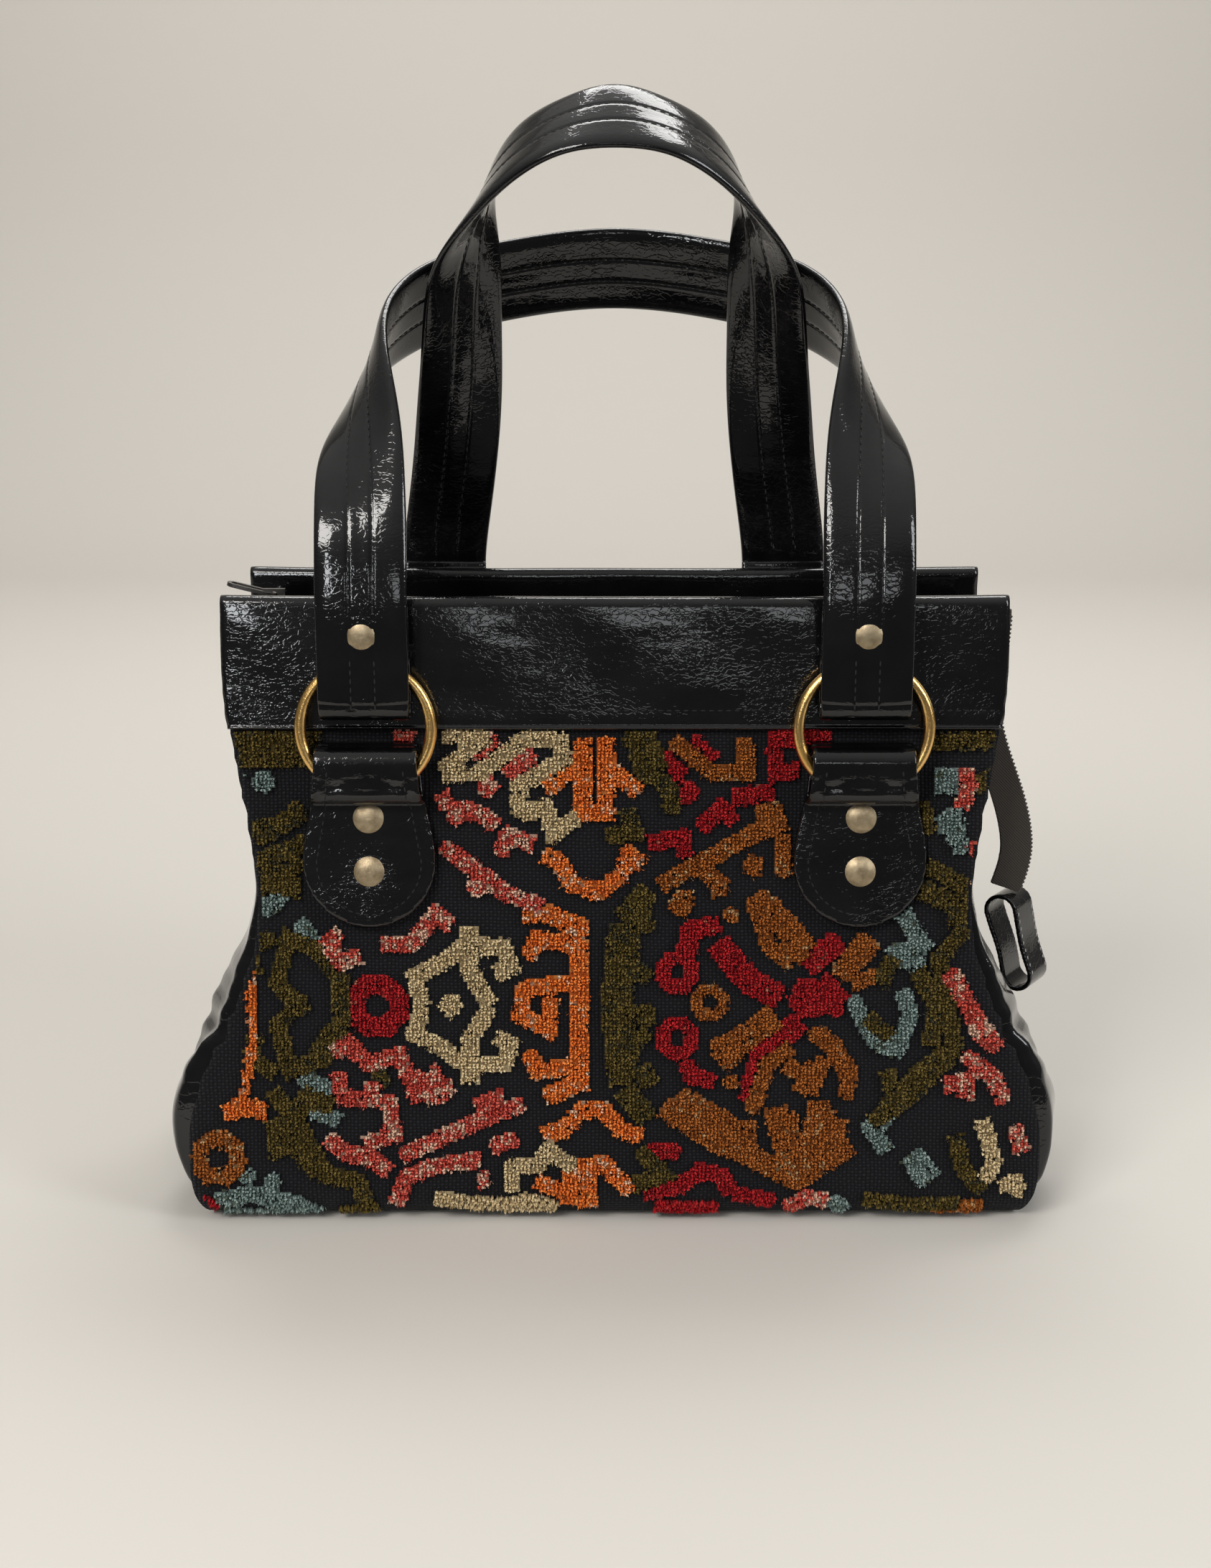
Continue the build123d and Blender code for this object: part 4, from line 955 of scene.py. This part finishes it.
def strap_half_thickness(s, run):
    """Half of the strap's thickness at s mm from its middle line, run mm along it."""
    s = np.abs(s)
    edge = np.clip((s - 12.4) / 5.1, 0, 1)
    row = s - ROW
    thick = 0.35 + 1.85 * np.sqrt(1 - edge**2) - 0.42 * np.exp(-((row / 0.5) ** 2))
    pucker = 0.10 * np.sin(run * 2 * math.pi / PITCH) * np.exp(-((row / 2.2) ** 2))
    return thick + pucker + 0.12 * np.sin(run / 13 + s / 5) * (1 - edge)


print("points across one face:", len(face_section))

# %% Straps
RIVET, FOOT_END = 238, 258


def strap_foot(wall, front, middle):
    """A soft copy of the strap's ends round the rings, grooved under the stitches."""
    feet = soft_copy(f"handle_{wall}", f"feet_{wall}", cell=0.7, rounds=9, share=0.35, top=250.5)
    points = points_of(feet)
    shown = np.array([v.normal[1] * front > 0.6 for v in feet.data.vertices])
    off_row = np.abs(np.abs(points[shown, 0]) - middle) - ROW
    points[shown, 1] -= front * 0.34 * np.exp(-((off_row / 0.65) ** 2))
    move_points(feet, points)
    return feet


def strap_stitches(wall, line, along, across, out, run, full):
    """Two rows on each face, none on the rivets and none hidden under the foot."""
    steps = np.arange(0.5, run[-1], PITCH)
    steps = steps[np.abs(np.interp(steps, run, line[:, 2]) - RIVET) > 8.5]
    rows = []
    for side in (-ROW, ROW):
        for face in (1, -1):
            use = steps if face == 1 else steps[np.interp(steps, run, line[:, 2]) > FOOT_END]
            here, way, beside, up = (sample(a, run, use) for a in (line, along, across, out))
            height = strap_half_thickness(side, use) * np.interp(use, run, full)
            rows.append((here + beside * side + up * (face * (height + 0.08))[:, None], way, up * face))
    stitch_row(f"strap_{wall}_stitches", *joined(rows), f"{wall}_handle", black_thread)


def make_strap(wall, route, foot_y):
    line, along, across, out, run, full = strap_frame(route, foot_y)
    sides = 2 * (len(face_section) + 1)

    def shape(u, v):
        k = np.rint(v * (STATIONS - 1)).astype(int)
        j = np.rint(u * sides).astype(int) % sides
        n = len(face_section)
        s = np.concatenate([[-STRAP_HALF], face_section, [STRAP_HALF], face_section[::-1]])[j]
        face = np.concatenate([[0], np.ones(n), [0], -np.ones(n)])[j]
        thick = strap_half_thickness(s, run[k]) * full[k] * face
        shut = np.where((k == 0) | (k == STATIONS - 1), 0.0, 1.0)
        return line[k] + across[k] * (s * shut)[:, None] + out[k] * (thick * shut)[:, None]

    sweep = grid_sheet(f"strap_{wall}", sides, STATIONS - 1, shape)
    apply_modifier(sweep, "WELD", merge_threshold=0.00003)
    (middle, _, _), (_, front, _) = route[0]
    feet = strap_foot(wall, front, middle)
    only(sweep)
    feet.select_set(True)
    bpy.ops.object.join()
    outwards(sweep)
    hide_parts(f"handle_{wall}")
    finished(sweep, f"{wall}_handle", "patent", patent_strap)
    print(f"strap {wall}: length", round(run[-1]), "mm, faces", len(sweep.data.polygons))
    strap_stitches(wall, line, along, across, out, run, full)


HALF_STRAP = 2.2
make_strap("front", FRONT_ROUTE, node_box("handle_front")[0][1] + HALF_STRAP)
make_strap("back", BACK_ROUTE, node_box("handle_back")[1][1] - HALF_STRAP)

# %% [markdown]
# ## Seams
# The band is sewn along its lower edge and under its roll, and each tab round its
# tongue. The line of a seam is drawn flat in front of the piece and dropped onto it.

# %% Seams of the bands and the tabs
BAND_SEAMS = (206.4, 243.5)
TONGUE_RADIUS, TONGUE_MIDDLE = 20.5, 147.5
for wall, side, middle in (("front", -1, FRONT_TABS), ("back", 1, BACK_TABS)):
    look = (0, -side, 0)
    edge = half_width(np.array([BAND_SEAMS[0]]))[0] - 2
    lines = [[(-edge, side * 80, z), (edge, side * 80, z)] for z in BAND_SEAMS]
    rows = [sewn_on(bands[wall], line, look, 3.3) for line in lines]
    for x in (-middle, middle):
        turns = [(math.cos(t), math.sin(t)) for t in np.linspace(0, math.pi, 30)]
        arc = [(x - TONGUE_RADIUS * c, side * 90, TONGUE_MIDDLE - TONGUE_RADIUS * s) for c, s in turns]
        line = [(x - 14.6, side * 90, 186), (x - 15.4, side * 90, 176)] + arc
        line += [(x + 15.4, side * 90, 176), (x + 14.6, side * 90, 186)]
        rows.append(sewn_on(tabs[wall, x > 0], line, look, 3.1))
    stitch_row(f"{wall}_seams", *joined(rows), "bag", black_thread)

# %% [markdown]
# ## The end of the zip
# The zip is longer than the bag. Its tail hangs down at the right and ends in a folded
# loop of patent leather. Both are soft copies of their CAD solids. The loop is pinched
# a little and turned towards the front, as in the photograph, which no smoothing does.

# %% Zip end loop
end_loop = soft_copy("zip_end_tab", "zip_end_loop", cell=0.5, rounds=4, share=0.5)
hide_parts("zip_end_tab")
finished(end_loop, "bag", "patent", patent_strap)
co = points_of(end_loop)
middle = (co.max(0) + co.min(0)) / 2
down, over = np.array([0.278, 0, -0.96]), np.array([0.96, 0, 0.278])
t, d = (co - middle) @ down, (co - middle) @ over
pinch = 1.3 * np.exp(-(((t - 3) / 12) ** 2)) * np.tanh(d / 2)
co = co - over * pinch[:, None] + over * (0.35 * np.sin(t / 9))[:, None]
twist = math.radians(-34)
turn = np.array([[math.cos(twist), -math.sin(twist), 0], [math.sin(twist), math.cos(twist), 0], [0, 0, 1]])
co = middle + (co - middle) @ turn.T
move_points(end_loop, co)
rows = []
for y in (-6.8, 6.8):
    for x in (-25, 25):
        line = np.array([(x, y, -13), (x, y, 13)]) @ turn.T + middle
        look = turn @ (-x / 25, 0, 0)
        rows.append(sewn_on(end_loop, line, look, 3.0))
stitch_row("zip_end_stitches", *joined(rows), "bag", pale_thread)

# %% Zip tail with its teeth
tail = soft_copy("zip_tail", "zip_end_tail", cell=0.45, rounds=3, share=0.5)
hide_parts("zip_tail")
finished(tail, "bag", "zip_cloth", zip_cloth)
tail_low, tail_high = node_box("zip_tail")
outside = tail_high[0] + 10
edge_line = [(outside, 0, tail_low[2] + 2), (outside, 0, tail_high[2] - 2)]
teeth = sewn_on(tail, edge_line, (-1, 0, 0), 1.7)
stitch_row("zip_tail_teeth", *teeth, "bag", tooth_plastic, size=(1.2, 2.2, 1.6))

# %% [markdown]
# ## Zip tapes, pocket walls and base
# These are flat pieces that hang or lie inside the bag. A flat box would show as one,
# so each is a fine grid made thick by Solidify, the tapes and pocket walls with slow waves.

# %% Inner cloths


def flat_cloth(name, node, shape, thick, finish, slot, columns=60, rows=30):
    sheet = grid_sheet(name, columns, rows, shape)
    apply_modifier(sheet, "SOLIDIFY", thickness=thick * MM, offset=0.0)
    outwards(sheet)
    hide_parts(node)
    finished(sheet, "bag", slot, finish)
    print(name, "thick:", thick, "mm, faces:", len(sheet.data.polygons))


for wall, side in (("front", -1), ("back", 1)):
    low, high = node_box(f"zip_tape_{wall}")

    def tape(u, v, low=low, high=high):
        x = low[0] + (high[0] - low[0]) * u
        y = low[1] + (high[1] - low[1]) * v
        return np.stack([x, y, (low[2] + high[2]) / 2 + 0.12 * np.sin(x / 5)], 1)

    flat_cloth(f"tape_{wall}", f"zip_tape_{wall}", tape, 0.6, zip_cloth, "zip_cloth", columns=120, rows=8)
    low, high = node_box(f"pocket_wall_{wall}")

    def pocket(u, v, low=low, high=high, side=side):
        x = (2 * u - 1) * (high[0] - 5 * v)
        z = low[2] + (high[2] - low[2]) * v
        wave = 0.9 * np.sin(x / 23 + side) * np.sin(z / 31) * np.sin(math.pi * v)
        return np.stack([x, (low[1] + high[1]) / 2 + wave, z], 1)

    flat_cloth(f"pocket_{wall}", f"pocket_wall_{wall}", pocket, 0.7, lining_cloth, "lining_cloth")

# %% Base leather
low, high = node_box("base_panel")


def base(u, v):
    y = low[1] + (high[1] - low[1]) * v
    round_off = np.clip(np.abs(y) - (high[1] - CORNER), 0, CORNER)
    x = (2 * u - 1) * (high[0] - CORNER + np.sqrt(CORNER**2 - round_off**2))
    return np.stack([x, y, (low[2] + high[2]) / 2 + 0 * x], 1)


flat_cloth("base_leather", "base_panel", base, 1.5, patent_side, "patent", columns=60, rows=40)

# %% [markdown]
# ## The pile
# Every motif is cut yarn: thousands of short soft ends that stand up from the
# cloth in tufts, one for each cell of the weave. Bundles and finer ends are scattered
# over the front of each CAD motif with a fixed seed and pulled together by cell. Each
# carries its tuft's random value, so a yarn of two colours can be flecked. Hair
# particles would be finer, but only a mesh is kept when the model is exported.

# %% Yarn finishes


def yarn_finish(name, low, middle, high, fleck, share):
    """A pile colour: roots painted dark as shade, three shades by blade, and flecks of a second yarn."""
    finish, tree, skin = new_material(name)
    own = tree.nodes.new("ShaderNodeAttribute")
    own.attribute_name = "yarn"
    part = tree.nodes.new("ShaderNodeSeparateXYZ")
    tree.links.new(own.outputs["Vector"], part.inputs[0])
    shade = ramp(tree, part.outputs["X"], [(0, low), (0.5, middle), (1, high)])
    patch = use(tree, blotch, Scale=70.0, Contrast=5.0)
    drift = ramp(tree, patch.outputs[0], [(0, grey(0.62)), (1, grey(1))])
    pick = tree.nodes.new("ShaderNodeMath")
    pick.operation = "MULTIPLY"
    tree.links.new(drift, pick.inputs[0])
    tree.links.new(part.outputs["Y"], pick.inputs[1])
    turn = ramp(tree, pick.outputs[0], [(1 - share - 0.04, grey(0)), (1 - share + 0.04, grey(1))])
    mix = tree.nodes.new("ShaderNodeMixRGB")
    mix.inputs["Color2"].default_value = (*fleck, 1)
    tree.links.new(turn, mix.inputs["Fac"])
    tree.links.new(shade, mix.inputs["Color1"])
    # Painted shade: the colour is multiplied darker towards the roots, by each point's height in the tuft.
    root_shade = tree.nodes.new("ShaderNodeMixRGB")
    root_shade.blend_type = "MULTIPLY"
    root_shade.inputs["Fac"].default_value = 1.0
    tree.links.new(mix.outputs[0], root_shade.inputs["Color1"])
    tint(tree, root_shade, "Color2", part.outputs["Z"], grey(0.22), grey(0.6), grey(1))
    tree.links.new(root_shade.outputs[0], skin.inputs["Base Color"])
    socket(skin, "Roughness", 0.9)
    socket(skin, "Sheen Weight", 0.05)
    socket(skin, "Specular IOR Level", 0.1)
    return finish


yarns = {
    "cream": ((0.44, 0.33, 0.17), (0.74, 0.57, 0.32), (0.88, 0.74, 0.47), (0.36, 0.27, 0.13), 0.12),
    "coral": ((0.40, 0.035, 0.026), (0.68, 0.09, 0.062), (0.80, 0.20, 0.145), (0.80, 0.52, 0.38), 0.40),
    "orange": ((0.60, 0.11, 0.014), (0.90, 0.21, 0.03), (0.96, 0.37, 0.10), (0.84, 0.58, 0.40), 0.24),
    "olive": ((0.05, 0.034, 0.006), (0.12, 0.083, 0.017), (0.25, 0.178, 0.05), (0.05, 0.045, 0.022), 0.3),
    "rust": ((0.21, 0.055, 0.008), (0.41, 0.12, 0.019), (0.56, 0.20, 0.048), (0.55, 0.34, 0.16), 0.16),
    "red": ((0.22, 0.004, 0.008), (0.46, 0.012, 0.018), (0.62, 0.035, 0.036), (0.46, 0.18, 0.12), 0.06),
    "teal": ((0.09, 0.13, 0.12), (0.23, 0.31, 0.29), (0.40, 0.50, 0.47), (0.10, 0.12, 0.08), 0.22),
}
print("yarns:", list(yarns))

# %% Outer faces of the motifs
PROUD, TURN_UNDER = 1.2, 12


def motif_front(colour):
    """Triangles, areas and normals of the outer face of one colour's motifs, in mm."""
    mesh = nodes[f"pile_{colour}"].data
    mesh.calc_loop_triangles()
    co = np.zeros(len(mesh.vertices) * 3)
    mesh.vertices.foreach_get("co", co)
    co = co.reshape(-1, 3) / MM
    tri = np.zeros(len(mesh.loop_triangles) * 3, int)
    mesh.loop_triangles.foreach_get("vertices", tri)
    tri = co[tri.reshape(-1, 3)]
    cross = np.cross(tri[:, 1] - tri[:, 0], tri[:, 2] - tri[:, 0])
    area = np.linalg.norm(cross, axis=1) / 2
    facing = unit(cross)
    wall = np.interp(tri[:, :, 2].mean(1), profile[::-1, 1], profile[::-1, 0])
    outer = (facing[:, 1] < -0.5) & (-tri[:, :, 1].mean(1) > wall + PROUD)
    outer |= (facing[:, 2] < -0.7) & (tri[:, :, 2].mean(1) < TURN_UNDER)
    return tri[outer], area[outer], facing[outer]


print("cream motifs:", round(motif_front("cream")[1].sum()), "mm2")

# %% Places for the yarn
CELL = np.array([1.55, 1.3])
COVERED, DARTS, ROOT_DEPTH = 0.62, 6, 2.3
print("one tuft stands on", CELL.prod().round(2), "mm2")


def scatter(front, per_cell, wide):
    """Roots and tips spread over every cell of the weave that the motif covers enough."""
    tri, area, facing = front
    pick = dice.choice(len(tri), int(area.sum() * DARTS), p=area / area.sum())
    a, b = dice.random((2, len(pick), 1))
    a, b = np.where(a + b > 1, 1 - a, a), np.where(a + b > 1, 1 - b, b)
    spot = tri[pick, 0] + (tri[pick, 1] - tri[pick, 0]) * a + (tri[pick, 2] - tri[pick, 0]) * b
    grid = np.rint(spot[:, [0, 2]] / CELL).astype(int)
    _, first, hits = np.unique(grid, axis=0, return_index=True, return_counts=True)
    first = np.repeat(first[hits > DARTS * CELL.prod() * COVERED], per_cell)
    up, cell = facing[pick[first]], grid[first] * CELL
    middle = spot[first]
    pull = np.zeros_like(middle)
    pull[:, [0, 2]] = (cell - middle[:, [0, 2]]) * np.where(middle[:, 2:] > TURN_UNDER, 1, 0)
    steep = np.where(np.abs(up[:, 1]) > 0.3, up[:, 1], 1)
    pull[:, 1] = -(pull[:, 0] * up[:, 0] + pull[:, 2] * up[:, 2]) / steep
    middle = middle + pull + up * sag(middle[:, 0], middle[:, 2])[:, None]
    spread = dice.normal(0, wide, middle.shape)
    spread = spread - up * (spread * up).sum(1)[:, None]
    tuft = np.abs(np.sin(cell @ (12.99, 78.23)) * 43758.5) % 1
    own = 0.6 * tuft + 0.4 * dice.random(len(first))
    fleck = np.abs(np.sin(cell @ (39.35, 11.13)) * 24634.6) % 1
    tall = 0.35 * (np.abs(np.sin(cell @ (7.13, 91.7)) * 9871.3) % 1 - 0.5)
    root = middle + spread * 0.4 - up * ROOT_DEPTH
    return root, middle + spread + up * tall[:, None], up, own, fleck


def copies(stack, pattern, own, fleck, rise):
    """Points, faces and yarn values of many copies of one small shape."""
    count, each = stack.shape[:2]
    faces = (np.arange(count)[:, None, None] * each + np.array(pattern)).reshape(-1, 3)
    values = np.column_stack([np.repeat(own, each), np.repeat(fleck, each), np.tile(rise, count)])
    return stack.reshape(-1, 3), faces, values


# %% Pad, bundles and ends of a tuft


def pads(front):
    """A floor under each tuft, painted dark as the shade between its ends, so that no cloth shows there.
    """
    middle, _, up, own, fleck = scatter(front, 1, 0.0)
    first = unit(np.cross(up, (0.0, 0.3, 1.0)))
    second = np.cross(up, first)
    x, z = CELL * 0.5
    corners = [middle + up + first * a + second * b for a, b in ((-x, -z), (x, -z), (x, z), (-x, z))]
    # The height value 0.2 makes the yarn finish paint the pads dark, as painted shade.
    return copies(np.stack(corners, 1), [[0, 1, 2], [0, 2, 3]], own, fleck, [0.2] * 4)


def bundles(front, per_cell):
    """Thick three-sided bunches of yarn that give the tuft its body."""
    root, tip, up, own, fleck = scatter(front, per_cell, 0.34)
    tip = tip + up * dice.normal(0.3, 0.22, len(tip))[:, None]
    first = unit(np.cross(up, (0.0, 0.3, 1.0)))
    second = np.cross(up, first)
    turn = dice.random(len(tip)) * 2 * math.pi
    wide = dice.uniform(0.46, 0.66, len(tip))
    rings = []
    for share, size in ((0.0, 0.7), (0.78, 1.0)):
        for k in range(3):
            angle = turn + k * 2 * math.pi / 3
            spoke = first * np.cos(angle)[:, None] + second * np.sin(angle)[:, None]
            rings.append(root + (tip - root) * share + spoke * (wide * size)[:, None])
    pattern = [[k, (k + 1) % 3, 3 + (k + 1) % 3] for k in range(3)]
    pattern += [[k, 3 + (k + 1) % 3, 3 + k] for k in range(3)]
    pattern += [[3 + k, 3 + (k + 1) % 3, 6] for k in range(3)]
    return copies(np.stack(rings + [tip], 1), pattern, own, fleck, [0.0] * 3 + [0.78] * 3 + [1.0])


def ends(front, per_cell):
    """Fine flat yarn ends that break up the tuft's outline."""
    root, tip, up, own, fleck = scatter(front, per_cell, 0.62)
    tip = tip + up * dice.normal(0.3, 0.35, len(tip))[:, None]
    spoke = unit(np.cross(up, dice.normal(0, 1, tip.shape)))
    half = dice.uniform(0.16, 0.3, len(tip))[:, None]
    middle = root * 0.35 + tip * 0.65
    blade = np.stack([root, middle - spoke * half, middle + spoke * half, tip], 1)
    return copies(blade, [[0, 2, 1], [1, 2, 3]], own, fleck, [0.0, 0.65, 0.65, 1.0])


# %% Pile, colour by colour


def make_pile(colour):
    front = motif_front(colour)
    points, faces, values = [], [], []
    for spots, sides, marks in (pads(front), bundles(front, 2), ends(front, 5)):
        faces.append(sides + sum(len(p) for p in points))
        points.append(spots)
        values.append(marks)
    points, faces, values = np.concatenate(points) * MM, np.concatenate(faces), np.concatenate(values)
    made = bpy.data.meshes.new(f"tufts_{colour}")
    made.vertices.add(len(points))
    made.vertices.foreach_set("co", points.ravel())
    made.loops.add(faces.size)
    made.loops.foreach_set("vertex_index", faces.ravel().astype(np.int32))
    made.polygons.add(len(faces))
    made.polygons.foreach_set("loop_start", np.arange(0, faces.size, 3, dtype=np.int32))
    made.update(calc_edges=True)
    yarn = made.attributes.new("yarn", "FLOAT_VECTOR", "POINT")
    yarn.data.foreach_set("vector", values.ravel().astype(np.float32))
    piece = linked(f"tufts_{colour}", made)
    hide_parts(f"pile_{colour}")
    finished(piece, "bag", f"pile_{colour}", yarn_finish(f"yarn_{colour}", *yarns[colour]))
    print(colour, "pile", round(front[1].sum()), "mm2,", len(faces), "triangles")


for colour in yarns:
    make_pile(colour)

# %% [markdown]
# ## Cut sizes of the cloth
# Eight pieces are cloth: the two woven panels and the two zip tapes are stretched,
# and the two linings and two pocket walls hang. The panels and linings are listed
# below with the flat size that each would be cut to, its area, how it is held and
# the pieces beside it, but the code only looks each piece up.

# %% Cut sizes
piled = [o for o in bpy.data.objects if o.name.startswith("tufts_")]
for wall in ("front", "back"):
    for name, flat, area, held, on in (
        ("cloth", (0.342, 0.266), 0.0818, "stretched", ["rim_band", "inner"]),
        ("inner", (0.322, 0.209), 0.0595, "hung", ["rim_band"]),
    ):
        piece = bpy.data.objects[f"{wall}_{name}"]
        rows = piled if piece.name == "front_cloth" else []

# %% [markdown]
# ## What keeps its CAD shape
# Rings, rivets, the zip's teeth, slider and pull are rigid, and CAD has made them as
# they are. Modelling them again would only lose their sizes, so their nodes stay and
# get their finish. Nodes that a soft piece replaces get one too, though none shows.

# %% Rigid nodes
NODE_FINISHES = (
    ("ring_", gold),
    ("rivets", brass),
    ("zip_slider", gunmetal),
    ("zip_pull", gunmetal),
    ("zip_teeth", gunmetal),
    ("zip_", zip_cloth),
    ("pocket", lining_cloth),
    ("base_board", board),
    ("", patent_side),
)
for name, node in nodes.items():
    finish = next(finish for word, finish in NODE_FINISHES if word in name)
    node.data.materials.clear()
    node.data.materials.append(finish)
print("finished nodes:", len(nodes))
